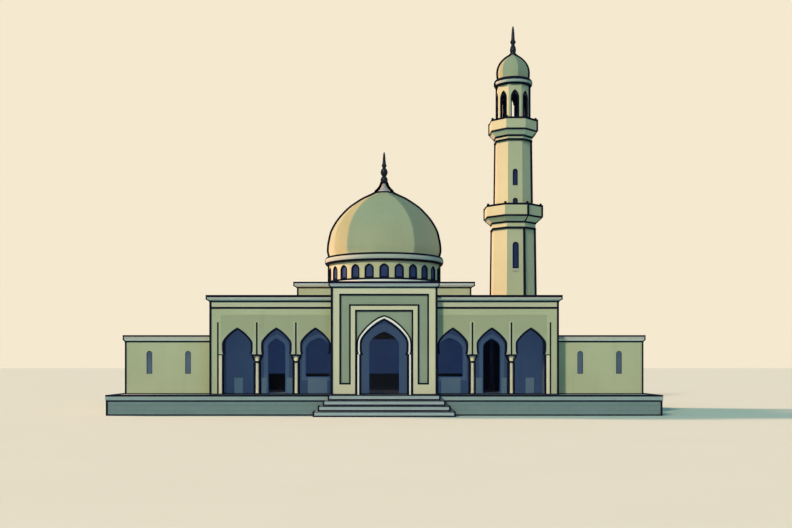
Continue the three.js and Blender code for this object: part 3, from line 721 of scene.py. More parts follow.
# Balconies: foot, height of the neck, floor, rim, radius of the neck and of the rim
BALCONIES = (
    (LOWER_BALCONY, 0.37, LOWER_FLOOR, LOWER_RIM, 1.39, 1.785),
    (UPPER_BALCONY, 0.25, UPPER_FLOOR, UPPER_RIM, 1.165, 1.48),
)
cove_zones = [level_zone(foot + neck, floor, sunlit(194, 211, 170)) for foot, neck, floor, *_ in BALCONIES]
# Painted shade: a cylinder inside the lantern, round its axis, is painted dark blue for the shade within its
# arches
lantern_shade_core = (0.92, UPPER_FLOOR + 0.02, LANTERN_TOP + 0.1, sunlit(30, 38, 68))

WALL = plaster("wall_plaster", sunlit(162, 175, 137), (*inner_shade_zones, base_shade_zone, *jamb_shade_zones))
FIELD = plaster("field_plaster", sunlit(165, 174, 160), fall=(IMPOST, IMPOST + 1.2, sunlit(144, 158, 124)))
FRIEZE = plaster("frieze_plaster", sunlit(173, 181, 147), grime=0.2)
PORTAL = plaster("portal_plaster", sunlit(190, 195, 160), portal_shade_zones, 0.2)
CHANNEL = plaster("channel_plaster", sunlit(130, 149, 124), grime=0.2)
# Painted shade: the hall's front wall in the portico is painted dark blue, and in the hall's darker tone
# inside the hall
INNER = plaster("portico_plaster", PORTICO_SHADE, [hall_shade_zone])
# Painted shade: the surrounds of the hall's openings, in the portico, are painted a lighter dark blue
SURROUND = plaster("surround_plaster", REVEAL_SHADE)
# Painted light: the low panels are painted lighter than the wall where sunlight through the arches falls on
# its foot
LIT_DADO = plaster("dado_stone_painted_light", shaded(69, 90, 105))
minaret_lime = sunlit(162, 175, 139)
SHAFT = plaster("minaret_plaster", minaret_lime, grime=0.2, core=lantern_shade_core)
BALCONY = plaster("balcony_plaster", minaret_lime, cove_zones, 0.2, core=lantern_shade_core)
STONE = plaster("cornice_stone", sunlit(163, 169, 155), soffit_light_zones[:3], 0.25, 0.72)
ATTIC_STONE = plaster("attic_stone", sunlit(164, 183, 181), soffit_light_zones[1:2], 0.25, 0.72)
COOL_STONE = plaster("portal_cornice_stone", sunlit(142, 153, 156), soffit_light_zones[3:], 0.25, 0.72)
RING_STONE = plaster("ring_stone", sunlit(146, 166, 152), grime=0.2, roughness=0.72)
BAND = plaster("band_plaster", sunlit(184, 201, 188), grime=0.15)
ROOF = plaster("roof_render", sunlit(136, 150, 132), inner_shade_zones, 0.45)
PAVING_STONE = block_stone("paving_stone", sunlit(130, 153, 147), 1.2, 0.8, zones=floor_shade_zones)
STEP_STONE = block_stone("step_stone", sunlit(145, 165, 162), 1.4, 0.8)
PLINTH = block_stone("plinth_stone", sunlit(102, 126, 121), 1.1, 0.283, on_walls=True)
TRIM = plaster("trim_plaster", sunlit(216, 221, 205), grime=0.15)
CAP_STONE = plaster("cap_stone", sunlit(140, 152, 150), grime=0.15)
COLUMN = plaster("column_stone", sunlit(200, 201, 170), grime=0.15)
# Painted light: the bells stand in the shadow of the abacus and are painted lighter and warmer than the
# shafts
LIT_BELL = plaster("bell_stone_painted_light", (0.88, 0.72, 0.48, 1.0), grime=0.1)
SLATE = slate("slate_line", tone(11, 16, 36))
DOME = dome_skin("dome_render", painted(AMBIENT, 104, 128, 110))
METAL = patina("finial_metal", tone(8, 10, 28), tone(20, 26, 50))
GLASS = dark_glass("window_glass", sunlit(34, 50, 86))
SLIT_GLASS = dark_glass("slit_glass", sunlit(67, 86, 102))
# Painted shade: the rear glass, seen from inside the hall, is painted in the hall's dark tone
INNER_GLASS = dark_glass("inner_glass", scaled(HALL_SHADE, 0.85), 0.9, 0.0, 1.1)
# Painted shade: dark plates in the minaret's slits and doorway stand for the dark inside
SLIT_SHADE = slate("slit_shade_plate", tone(34, 45, 84))
# Painted shade: the linings of the hall's openings are painted dark blue, set for the little fill light on
# their sides
INNER_LINE = slate("inner_line", unlit(30, 48, 78, share=FILL_ON_SIDES))


# CAD nodes keep their shape and get their finish here, and some get softer edges: the material, the
# bevel and how the nodes' names start

for material, bevel, starts in (
    (WALL, 0.0, "arcade_wall side_wall rear_wall attic_walls minaret_base wing_walls drum_wall"),
    (INNER, 0.0, "hall_front_wall"),
    (PORTAL, 0.0, "portal_block"),
    (TRIM, 0.0, "portal_archivolt"),
    (SHAFT, 0.0, "minaret_shaft minaret_lantern"),
    (BALCONY, 0.012, "minaret_balcony"),
    (STONE, 0.01, "cornice wing_roof"),
    (ATTIC_STONE, 0.01, "attic_roof"),
    (COOL_STONE, 0.01, "portal_cornice"),
    (ROOF, 0.0, "roof_slab"),
    (PLINTH, 0.0, "platform_base"),
    (GLASS, 0.0, "drum_glass"),
    (INNER_GLASS, 0.0, "rear_glass"),
    (SLIT_GLASS, 0.0, "wing_glass"),
):
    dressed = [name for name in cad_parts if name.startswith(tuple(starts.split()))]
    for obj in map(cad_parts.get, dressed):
        obj.data.materials.clear()
        obj.data.materials.append(material)
        if bevel:
            obj.modifiers.new("weld", "WELD").merge_threshold = 0.0002
            soften(obj, bevel, 50)


# Arcade

arcade_arch = both_sides(waisted_half(*ARCADE_ARCH))


def arcade_fields(side, sign):
    """Green plaster that fills the shallow field around the arches almost to the wall's face."""
    bm = bmesh.new()
    gap = 0.002
    near, far, top = PORTAL_HALF + gap, FIELD_SIDE - gap, FIELD_TOP - gap
    arches = [(x - dx, IMPOST + dz) for x in BAYS for dx, dz in arcade_arch if x - dx > PORTAL_HALF + 0.01]
    outline = [(near, top), (near, arches[0][1])] + arches + [(far, IMPOST), (far, top)]
    pane(bm, outline, on_front(FIELD_FACE, sign), 0.0, FIELD_FACE - FRONT - RECESS - gap)
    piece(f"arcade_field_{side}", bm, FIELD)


def arcade_lines(side, sign):
    """Strips with dark inlays over the columns, a long one beside the end pier, the arches' lining."""
    pale, dark, lining = bmesh.new(), bmesh.new(), bmesh.new()
    place = on_front(FIELD_FACE, sign)
    for _, x in COLUMNS:
        bead(pale, [(x, IMPOST), (x, STRIP_TOP + 0.05)], place, -0.13, 0.13, 0.012)
        bead(dark, [(x, IMPOST), (x, STRIP_TOP)], place, -0.048, 0.048, 0.026)
    end = END_COLUMN + 0.02
    bead(dark, [(end, FLOOR), (end, STRIP_TOP)], on_front(FRONT, sign), -0.042, 0.042)
    for x in BAYS:
        path = [point for point in moved(arcade_arch, x, IMPOST) if point[0] > PORTAL_HALF + 0.04]
        bead(lining, path, place, -0.105, 0.004, 0.018, 0.22)
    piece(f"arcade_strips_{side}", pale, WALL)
    piece(f"arcade_inlays_{side}", dark)
    piece(f"arcade_linings_{side}", lining)


def frieze(side, sign):
    """Paler band between the string line and the cornice."""
    bm = bmesh.new()
    middle, height = (ROOF_UNDER + WALL_TOP) / 2, (WALL_TOP - ROOF_UNDER) / 2
    section = [(-height, -0.001), (height, -0.001), (height, 0.006), (-height, 0.006)]
    run(bm, [(PORTAL_HALF, middle), (HALF, middle)], section, on_front(FRONT, sign))
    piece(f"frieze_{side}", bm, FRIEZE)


def arcade_column(name, x):
    """Cream shaft; bell painted lighter for the abacus's shadow (painted light); dark base block, corner
    rods, neck ring, leaves and abacus.
    """
    y = (FRONT + ARCADE_BACK) / 2
    foot, lip = FLOOR + 0.075, ABACUS_Z + 0.02
    neck, collar = NECK_Z - 0.08, NECK_Z + 0.02
    core, full = SHAFT_RADIUS - 0.02, SHAFT_RADIUS
    shaft, bell, dark = bmesh.new(), bmesh.new(), bmesh.new()
    base = [(core + dr, foot + dz) for dr, dz in ((0.025, 0.0), (0.030, 0.03), (0.010, 0.06), (0.0, 0.10))]
    waist = [(core + 0.004, foot + 0.7), (core - 0.008, neck)]
    turned(shaft, [(0.0, foot)] + base + waist + [(0.0, neck)], x, y, 32)
    flare = [(full - 0.01, collar), (full, collar + 0.08), (full + 0.03, collar + 0.16), (full + 0.075, lip)]
    turned(bell, [(0.0, collar)] + spline(flare) + [(0.0, lip)], x, y, 32)
    ring = arc(full, (neck + collar) / 2, 0.05, -pi / 2, pi / 2, 8)
    turned(dark, [(0.0, neck)] + ring + [(0.0, collar)], x, y, 32)
    for half, bottom, top in ((full + 0.045, FLOOR, foot), (ABACUS_HALF, lip, IMPOST)):
        box(dark, x - half, y - half, bottom, x + half, y + half, top)
    posts, leaves = (corners_of(x - r, y - r, x + r, y + r) for r in (0.145, 0.25))
    for (post_x, post_y, *_), (leaf_x, leaf_y, *_) in zip(posts, leaves):
        rod(dark, (post_x, post_y, foot), (post_x, post_y, neck + 0.01), 0.055)
        rod(dark, (post_x, post_y, collar - 0.01), (leaf_x, leaf_y, ABACUS_Z + 0.03), 0.04, 0.05)
    node = f"arcade_{name}"
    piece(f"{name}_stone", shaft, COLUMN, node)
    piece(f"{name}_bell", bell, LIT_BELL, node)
    piece(f"{name}_slate", dark, node=node, bevel=0.006)


def respond(side, sign):
    """Flat cream strip on the end pier with a dark base, edge and thin capping line."""
    node = f"arcade_respond_{side}"
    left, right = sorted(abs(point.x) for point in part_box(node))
    edge, foot, cap, set_back = 0.055, FLOOR + 0.05, IMPOST - 0.06, 0.008
    pale, dark = bmesh.new(), bmesh.new()
    for bm, x0, x1, y, bottom, top in (
        (pale, left, right, FRONT + set_back, foot, cap),
        (dark, left - edge, left, FRONT + set_back, FLOOR, cap),
        (dark, left, right, FRONT + set_back, FLOOR, foot),
        (dark, left - edge - 0.02, right, FRONT, cap, IMPOST - 0.001),
    ):
        x0, x1 = sorted((sign * x0, sign * x1))
        box(bm, x0, y, bottom, x1, ARCADE_BACK - set_back, top)
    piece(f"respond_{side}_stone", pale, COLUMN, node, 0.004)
    piece(f"respond_{side}_slate", dark, node=node, bevel=0.004)


for side, sign in SIDES:
    arcade_fields(side, sign)
    arcade_lines(side, sign)
    frieze(side, sign)
    for place, x in COLUMNS:
        arcade_column(f"column_{place}_{side}", sign * x)
    respond(side, sign)


# Lines of the main block, outside to the right of travel


def block_paths(out):
    """The main block's outline in plan, from the portal to the minaret's base on either side."""
    right, front, rear = HALF + out, FRONT - out, REAR + out
    yield [(PORTAL_HALF, front), (right, front), (right, BASE_FRONT)]
    yield [(BASE_LEFT, rear), (-right, rear), (-right, front), (-PORTAL_HALF, front)]


def block_lines():
    bm = bmesh.new()
    for path in block_paths(CORNICE_OUT):
        rim(bm, path, CORNICE_TOP, 0.125, 0.016, False)
    for path in block_paths(0.0):
        course(bm, path, WALL_TOP - 0.045, WALL_TOP + 0.055, 0.065, False)
        course(bm, path, ROOF_UNDER - 0.058, ROOF_UNDER + 0.058, PROUD, False)
    # The fourth corner of the block is the minaret's base, whose own left front corner is indoors
    for edge in corners_of(-HALF, FRONT, HALF, REAR)[:3]:
        corner(bm, *edge, FLOOR, WALL_TOP, CORNICE_TOP, CORNICE_OUT, 0.07, 0.04)
    base = corners_of(BASE_LEFT, BASE_FRONT, BASE_RIGHT, BASE_REAR)
    for edge, bottom in zip(base, (ROOF_TOP, FLOOR, FLOOR, FLOOR)):
        corner_line(bm, *edge, bottom, CORNICE_TOP, 0.06)
    rim(bm, plan_of("minaret_base"), CORNICE_TOP, 0.08, 0.03)
    piece("block_lines", bm)


def base_lines():
    """A dark line along the foot of every outer wall."""
    bm = bmesh.new()
    portal = [(JAMB + ARCHIVOLT, PORTAL_FRONT), (PORTAL_HALF, PORTAL_FRONT), (PORTAL_HALF, FRONT)]
    side = [(END_COLUMN, FRONT), (HALF, FRONT), (HALF, WING_FRONT), (WING_OUTER, WING_FRONT)]
    side += [(WING_OUTER, WING_REAR), (HALF, WING_REAR)]
    paths = [portal, side] + [[(-x, y) for x, y in reversed(wall)] for wall in (portal, side)]
    paths.append([(BASE_RIGHT, BASE_FRONT), (BASE_RIGHT, BASE_REAR), (BASE_LEFT, BASE_REAR)])
    paths.append([(BASE_LEFT, REAR), (-HALF, REAR), (-HALF, WING_REAR)])
    for path in paths:
        course(bm, path, FLOOR, FLOOR + 0.055, 0.02, False)
    piece("base_lines", bm)


block_lines()
base_lines()


# Portal


def portal_panels():
    """Green plaster in the channel and the spandrels."""
    bm = bmesh.new()
    place = on_front(PORTAL_FRONT + RECESS)
    inner, outer = CHANNEL_INNER, CHANNEL_OUTER
    right = [(inner, CHANNEL_FOOT), (outer, CHANNEL_FOOT), (outer, CHANNEL_TOP), (0, CHANNEL_TOP)]
    right += [(0, CHANNEL_INNER_TOP), (inner, CHANNEL_INNER_TOP)]
    for sign in (-1, 1):
        pane(bm, [(sign * x, z) for x, z in right], place, 0.010, -0.002)
    spandrel = rectangle(SPANDREL_HALF, FLOOR, -SPANDREL_HALF, SPANDREL_TOP) + portal_outline(0.0)
    pane(bm, spandrel, place, 0.010, -0.002)
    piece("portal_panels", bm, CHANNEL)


def portal_lines():
    bm = bmesh.new()
    face = on_front(PORTAL_FRONT)
    channel = rectangle(-CHANNEL_OUTER, CHANNEL_FOOT, CHANNEL_OUTER, CHANNEL_TOP)
    channel += rectangle(CHANNEL_INNER, CHANNEL_FOOT, -CHANNEL_INNER, CHANNEL_INNER_TOP)
    field = rectangle(-SPANDREL_HALF, FLOOR, SPANDREL_HALF, SPANDREL_TOP)
    deep = RECESS + 0.005
    bead(bm, channel, face, -0.05, 0.04, 0.02, deep, True)
    bead(bm, field, face, -0.045, 0.045, 0.02, deep)
    bead(bm, portal_outline(ARCHIVOLT), face, -0.018, 0.065, 0.012, deep)
    bead(bm, portal_outline(0.0), face, -0.10, 0.018, 0.006, 0.30)
    out = PORTAL_CORNICE_SIDE - PORTAL_HALF
    body = (-PORTAL_HALF, PORTAL_FRONT, PORTAL_HALF, ARCADE_BACK)
    for edge, foot in zip(corners_of(*body), (FLOOR, ROOF_TOP, FLOOR, ROOF_TOP)):
        corner(bm, *edge, foot, PORTAL_TOP, PORTAL_CORNICE_TOP, out, 0.075, 0.045)
    rim(bm, plan_of("portal_cornice"), PORTAL_CORNICE_TOP, 0.12, 0.014)
    course(bm, around(*body), PORTAL_TOP - 0.03, PORTAL_TOP + 0.08, 0.06)
    piece("portal_lines", bm)


portal_panels()
portal_lines()


# Portico: surrounds of the hall's openings, and low stone panels painted lighter for sunlight through the
# arches (painted light)


def hall_surrounds():
    bands, lines = bmesh.new(), bmesh.new()
    place = on_front(HALL_FRONT)
    openings = [(0.0, MAIN_DOOR, WIDE_BAND, False)]
    for sign in (-1, 1):
        openings.append((sign * SIDE_DOOR_X, SIDE_DOOR, SLIM_BAND, False))
        openings.append((sign * HALL_WINDOW_X, HALL_WINDOW, SLIM_BAND, True))
    for x, form, band, closed in openings:
        bead(bands, pointed(x, *form), place, 0.0, band, 0.03, SUNK, closed)
        bead(lines, pointed(x, *form), place, -0.03, 0.0, 0.0, 0.4, closed)
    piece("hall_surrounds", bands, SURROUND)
    piece("hall_opening_linings", lines, INNER_LINE)


def dado_panels():
    bm = bmesh.new()
    top = HALL_WINDOW[1] - 0.03
    door_half = SIDE_DOOR[0] / 2 + 0.03
    left, right = SIDE_DOOR_X - door_half, SIDE_DOOR_X + door_half
    spans = [(HALL_WINDOW_X - 0.49, HALL_WINDOW_X + 0.64), (left - 0.36, left), (right, right + 0.30)]
    for sign in (-1, 1):
        for x0, x1 in spans + [END_DADO]:
            middle, half = (x0 + x1) / 2, (x1 - x0) / 2
            bead(bm, [(middle, FLOOR), (middle, top)], on_front(HALL_FRONT, sign), -half, half, 0.045)
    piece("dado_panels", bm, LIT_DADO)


hall_surrounds()
dado_panels()


# Platform and steps


def paving():
    """The paving slab, set back a little under its dark top edge, with a slate border on top."""
    slab, lines = bmesh.new(), bmesh.new()
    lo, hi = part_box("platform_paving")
    top, under = hi.z, hi.z - 0.085
    set_back, border = 0.016, 0.60

    def plan(inset):
        return around(lo.x + inset, lo.y + inset, hi.x - inset, hi.y - inset)

    levels = ((0.0, lo.z), (0.0, under), (set_back, under), (set_back, top))
    loft(slab, [[(x, y, z) for x, y in plan(inset)] for inset, z in levels])
    edge = set_back - 0.002
    section = [(-border, top - 0.01), (-SUNK, top - 0.01), (-SUNK, under), (edge, under)]
    section += [(edge, top - 0.006), (edge - 0.006, top + 0.003), (-border, top + 0.003)]
    run(lines, plan(set_back), section, on_plan, True)
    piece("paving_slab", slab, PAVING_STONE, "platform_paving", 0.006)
    piece("paving_border", lines, node="platform_paving")


def platform_lines():
    bm = bmesh.new()
    course(bm, plan_of("platform_base"), PAVING - 0.075, PAVING, 0.035)
    course(bm, plan_of("platform_base"), 0.0, 0.075, 0.03)
    for edge in corners_of(-PLATFORM_HALF, PLATFORM_FRONT, PLATFORM_HALF, PLATFORM_REAR):
        corner_line(bm, *edge, 0.0, PAVING)
    piece("platform_lines", bm)


def stairs():
    """Four steps with slate nosings, a dark line at the foot of each riser and at its ends."""
    pale, dark = bmesh.new(), bmesh.new()
    set_back, nosing, strip = 0.018, 0.035, 0.09
    for level in range(STEPS):
        half = LANDING_HALF + (STEPS - 1 - level) * TREAD_SIDE - set_back
        front = STAIR_FRONT + level * TREAD_DEPTH + set_back
        back = PAVING_FRONT if level == STEPS - 1 else PLATFORM_FRONT
        bottom, top = level * RISER, (level + 1) * RISER
        box(pale, -half, front, bottom, half, back, top)
        path = [(-half, back), (-half, front), (half, front), (half, back)]
        course(dark, path, bottom, bottom + 0.08, 0.014, False)
        section = [(-strip, top - 0.01), (-SUNK, top - nosing), (set_back, top - nosing)]
        section += [(set_back, top - 0.008), (set_back - 0.008, top + 0.002), (-strip, top + 0.002)]
        run(dark, path, section, on_plan)
        for sx in (-1, 1):
            corner_line(dark, sx * half, front, sx, -1, bottom, top - nosing, 0.07, 0.015)
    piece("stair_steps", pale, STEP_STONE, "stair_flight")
    piece("stair_lines", dark, node="stair_flight")


paving()
platform_lines()
stairs()


# Attic, drum and dome


def attic_lines():
    bm = bmesh.new()
    rim(bm, plan_of("attic_roof"), ATTIC_TOP, 0.085, 0.016)
    course(bm, plan_of("attic_walls"), ATTIC_BASE - 0.03, ATTIC_BASE + 0.05, 0.06)
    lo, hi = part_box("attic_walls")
    for edge in corners_of(lo.x, lo.y, hi.x, hi.y):
        corner(bm, *edge, ROOF_TOP, ATTIC_BASE, ATTIC_TOP, ATTIC_ROOF_SIDE - hi.x)
    piece("attic_lines", bm)


def drum_windows():
    """Dark frames and panes that follow the round wall, and strips on the outer piers."""
    frames, panes = bmesh.new(), bmesh.new()
    for i in range(DRUM_WINDOWS):
        place = on_drum(2 * pi * i / DRUM_WINDOWS)
        bead(frames, pointed(0.0, *DRUM_FRAME), place, -0.075, 0.012, 0.02, 0.12, True)
        pane(panes, pointed(0.0, *DRUM_WINDOW), place, -0.05, -0.09)
    pier = pi / DRUM_WINDOWS
    for angle in (pi / 2 - pier, pi / 2 + pier, -pi / 2 + pier, -pi / 2 - pier):
        bead(frames, [(0, DRUM_BASE), (0, DRUM_TOP)], on_drum(angle), -0.07, 0.07, 0.085)
    piece("drum_frames", frames)
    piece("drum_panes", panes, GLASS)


def swell(outer, bulge, bottom, top, start=-pi / 2, stop=pi / 2, steps=12):
    """The half round edge of a moulded ring, as radius and height."""
    return arc(outer - bulge, (bottom + top) / 2, bulge, start, stop, steps, (top - bottom) / 2)


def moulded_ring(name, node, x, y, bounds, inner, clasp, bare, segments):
    """A round moulding with a dark line under and over it and a dark clasp on either side.

    Bounds are its outer radius, its bulge, bottom and top. Clasp is half the clasp's width in
    degrees; bare is the stretch of the round edge between the dark lines, in radians.
    """
    outer, bulge, bottom, top = bounds
    pale, dark = bmesh.new(), bmesh.new()
    turned(pale, [(inner, bottom)] + swell(*bounds) + [(inner, top)], x, y, segments)
    skin = 0.014
    over = (outer + skin, bulge + skin, bottom - skin, top + skin)
    back = outer - bulge - 0.05
    for start, stop in ((-pi / 2, bare[0]), (bare[1], pi / 2)):
        edge = swell(*over, start, stop, 6)
        turned(dark, edge + [(back, edge[-1][1]), (back, edge[0][1])], x, y, segments)
    whole = swell(*over) + [(back + 0.03, top), (back + 0.03, bottom)]
    for side in (0.0, pi):
        loft(dark, swept(whole, x, y, [side + radians(clasp) * (i / 4 - 1) for i in range(9)]))
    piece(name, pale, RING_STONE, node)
    piece(f"{name}_lines", dark, node=node)


def drum_rings():
    """Pale band under the windows and the dark rings over and under it."""
    pale, dark = bmesh.new(), bmesh.new()
    wall = circle(DRUM_RADIUS)
    course(pale, wall, DRUM_BASE, DRUM_SILL - 0.10, 0.03)
    course(dark, wall, DRUM_SILL - 0.10, DRUM_SILL, 0.05)
    course(dark, wall, DRUM_BASE, DRUM_BASE + 0.06, 0.05)
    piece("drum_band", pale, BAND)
    piece("drum_rings", dark)
    bounds = (DRUM_RADIUS + 0.24, 0.13, DRUM_TOP, DOME_BASE)
    name, inner, bare = "drum_cornice", DRUM_RADIUS - 0.30, (-0.52, 0.52)
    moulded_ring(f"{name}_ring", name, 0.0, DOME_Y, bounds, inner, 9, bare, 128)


# Radius and height along each outline
DOME_KNOTS = [
    (3.34, 9.40), (3.42, 9.70), (3.44, 9.87), (3.415, 10.24), (3.34, 10.62), (3.25, 10.99),
    (3.065, 11.365), (2.825, 11.74), (2.51, 12.11), (2.12, 12.49), (1.59, 12.86), (1.28, 13.05),
    (0.885, 13.235), (0.56, 13.40), (0.40, 13.53),
]
CAP_KNOTS = [(0.50, 13.46), (0.42, 13.54), (0.29, 13.67), (0.205, 13.795), (0.145, 13.92), (0.09, 14.08)]
FINIAL_KNOTS = [
    (0.165, 14.08), (0.215, 14.19), (0.226, 14.29), (0.195, 14.40), (0.13, 14.506), (0.19, 14.62),
    (0.22, 14.76), (0.185, 14.91), (0.104, 15.035), (0.16, 15.165), (0.11, 15.31), (0.083, 15.64),
    (0.058, 15.90), (0.02, 16.02),
]


def shell(name, node, outside, thick, least, sag, base, x, y, segments):
    """A dome as thick as given at its base; inside it is lower by sag per metre of height."""
    bm = bmesh.new()
    inside = [(max(r - thick, least), z - sag * (z - base)) for r, z in reversed(outside)]
    inside[-1] = (outside[0][0] - thick, base)
    turned(bm, outside + inside, x, y, segments)
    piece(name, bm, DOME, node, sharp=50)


def seam(bm, profile, x, y, half, reach):
    """A dark line that stands on a round form, over it from side to side."""
    for sign in (-1, 1):
        path = [(x + sign * r, z) for r, z in profile]
        section = [(-SUNK * sign, -half), (reach * sign, -half), (reach * sign, half), (-SUNK * sign, half)]
        run(bm, path, section, lambda u, v, out: (u, y + out, v))


def dome():
    """Smooth dome with a dark standing seam from side to side, cap and finial."""
    outside, cap_skin = spline(DOME_KNOTS), spline(CAP_KNOTS)
    cap_radius, cap_base = CAP_KNOTS[0]
    cap, finial, lines = bmesh.new(), bmesh.new(), bmesh.new()
    shell("dome_skin", "dome_shell", outside, 0.2, 0.15, 0.03, DOME_BASE, 0.0, DOME_Y, 192)
    turned(cap, [(0.0, cap_base)] + cap_skin + [(0.0, CAP_TOP)], 0.0, DOME_Y, 64)
    turned(finial, [(0.0, CAP_TOP)] + spline(FINIAL_KNOTS, 4) + [(0.0, TIP)], 0.0, DOME_Y, 40)
    shown = [point for point in outside if point[0] > cap_radius]
    seam(lines, shown + cap_skin, 0.0, DOME_Y - 0.2, 0.04, 0.12)
    seam(lines, cap_skin, 0.0, DOME_Y - 0.2, 0.04, 0.15)
    course(lines, circle(cap_radius - 0.01), cap_base - 0.04, cap_base + 0.055, 0.05)
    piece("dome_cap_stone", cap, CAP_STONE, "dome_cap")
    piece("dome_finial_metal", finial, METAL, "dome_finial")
    piece("dome_seam", lines)


attic_lines()
drum_windows()
drum_rings()
dome()


# Minaret


def corner_rib(bm, index, bottom, top, first, last, width=0.14, proud=0.10):
    """An upright line on one corner of the octagon; radii are to the flats."""
    section = ((-0.5, -0.05), (0.5, -0.05), (0.5, proud * 0.5), (0.0, proud), (-0.5, proud * 0.5))
    rings = []
    for radius, z in ((first, bottom), (last, top)):
        x, y = octagon(radius)[index]
        out = Vector((x - MINARET_X, y - MINARET_Y)).normalized()
        along = Vector((-out.y, out.x))
        points = [Vector((x, y)) + along * side * width + out * reach for side, reach in section]
        rings.append([(point.x, point.y, z) for point in points])
    loft(bm, rings)


# Both corners of the left front face, 7 and 0, are plain: the drawn face has no line beside it
LINED_CORNERS = (1, 2, 3, 4, 5, 6)
SIDE_CORNERS = (2, 3, 6)
REAR_CORNERS = (4, 5)


def minaret_lines():
    bm = bmesh.new()
    for index in LINED_CORNERS:
        corner_rib(bm, index, CORNICE_TOP, LOWER_BALCONY, *LOWER_SHAFT)
    for index in SIDE_CORNERS:
        corner_rib(bm, index, LOWER_FLOOR, UPPER_BALCONY, *UPPER_SHAFT)
        corner_rib(bm, index, UPPER_FLOOR, LANTERN_TOP, LANTERN, LANTERN)
    course(bm, octagon(LOWER_SHAFT[0]), CORNICE_TOP, CORNICE_TOP + 0.07, 0.03)
    for (foot, neck, floor, rim, small, large), corners in zip(BALCONIES, (LINED_CORNERS, SIDE_CORNERS)):
        knee = foot + neck
        course(bm, octagon(small), foot - 0.06, foot + 0.06, 0.04)
        course(bm, octagon(small), knee - 0.06, knee + 0.06, 0.055)
        course(bm, octagon(large), floor - 0.06, floor + 0.065, 0.013)
        course(bm, octagon(large), rim - 0.125, rim + 0.006, 0.013)
        for index in range(8):
            (x, y), (inner_x, inner_y) = octagon(large)[index], octagon(small)[index]
            inward = Vector((MINARET_X - x, MINARET_Y - y)).normalized()
            if index in corners:
                width, proud = (0.04, 0.008) if index in REAR_CORNERS else (0.12, 0.08)
                corner_rib(bm, index, floor, rim, large, large, width, proud)
                end = (x + 0.03 * inward.x, y + 0.03 * inward.y, floor - 0.04)
                rod(bm, (inner_x, inner_y, knee), end, 0.04)
            knob = [(0.0, rim - 0.02)] + arc(0.0, rim + 0.04, 0.085, -pi / 3, pi / 2, 8)
            knob[-1] = (0.0, rim + 0.125)
            turned(bm, knob, x + 0.09 * inward.x, y + 0.09 * inward.y, 16)
    piece("minaret_lines", bm)


def minaret_openings():
    """Dark plates that stand for the shade inside the slits and the balcony doorway (painted shade), their
    dark frames and a pale sill.
    """
    dark, frames, sills = bmesh.new(), bmesh.new(), bmesh.new()
    lower = on_facet(0, *LOWER_SHAFT, CORNICE_TOP, LOWER_BALCONY)
    upper = on_facet(0, *UPPER_SHAFT, LOWER_FLOOR, UPPER_BALCONY)
    for place, form in ((lower, LOWER_SLIT), (upper, UPPER_SLIT), (upper, BALCONY_DOOR)):
        outline = rounded(0.0, *form)
        pane(dark, outline, place, -0.06, -0.10)
        bead(frames, outline, place, -0.04, 0.012, 0.015, 0.08, True)
    sill = LOWER_SLIT[1] - SILL_DROP
    bead(sills, [(-SILL_HALF, sill), (SILL_HALF, sill)], lower, -0.09, 0.09, 0.05)
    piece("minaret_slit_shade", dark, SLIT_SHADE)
    piece("minaret_frames", frames)
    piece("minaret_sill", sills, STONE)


def lantern_frames():
    """Dark lining in the lantern's arches, with fuller heads than the openings behind it."""
    bm = bmesh.new()
    outline = pointed(0.0, *LANTERN_ARCH)
    for index in range(8):
        place = on_facet(index, LANTERN)
        bead(bm, outline, place, -0.05, 0.024, 0.02, 0.16, True)
        bead(bm, outline[1:-1], place, -0.10, -0.02, 0.019, 0.16)
    piece("lantern_frames", bm)


MINARET_DOME_KNOTS = [
    (0.91, 21.40), (0.965, 21.60), (0.98, 21.90), (0.96, 22.06), (0.91, 22.256), (0.782, 22.496),
    (0.595, 22.703), (0.415, 22.855), (0.23, 22.969), (0.13, 23.06), (0.10, 23.141),
]
MINARET_FINIAL_KNOTS = [
    (0.18, 23.141), (0.17, 23.22), (0.20, 23.38), (0.165, 23.60), (0.11, 23.72), (0.13, 23.80),
    (0.185, 23.93), (0.13, 24.05), (0.11, 24.20), (0.095, 24.50), (0.06, 24.85), (0.02, 24.97),
]


def minaret_top():
    """Ring, small dome with its seam, and finial."""
    x, y = MINARET_X, MINARET_Y
    bounds = (RING_RIGHT - x, 0.155, LANTERN_TOP, RING_TOP)
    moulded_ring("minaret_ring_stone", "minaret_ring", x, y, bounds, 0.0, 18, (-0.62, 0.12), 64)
    outside = spline(MINARET_DOME_KNOTS)
    shell("minaret_dome_skin", "minaret_dome", outside, 0.12, 0.05, 0.1, RING_TOP, x, y, 128)
    finial, lines = bmesh.new(), bmesh.new()
    foot = MINARET_DOME_TOP - 0.06
    profile = [(0.0, foot), (0.2, foot)] + spline(MINARET_FINIAL_KNOTS, 4) + [(0.0, MINARET_TIP)]
    turned(finial, profile, x, y, 40)
    seam(lines, outside, x, y - 0.03, 0.035, 0.125)
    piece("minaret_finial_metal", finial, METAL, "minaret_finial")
    piece("minaret_dome_seam", lines)


minaret_lines()
minaret_openings()
lantern_frames()
minaret_top()


# Wings, sides and rear


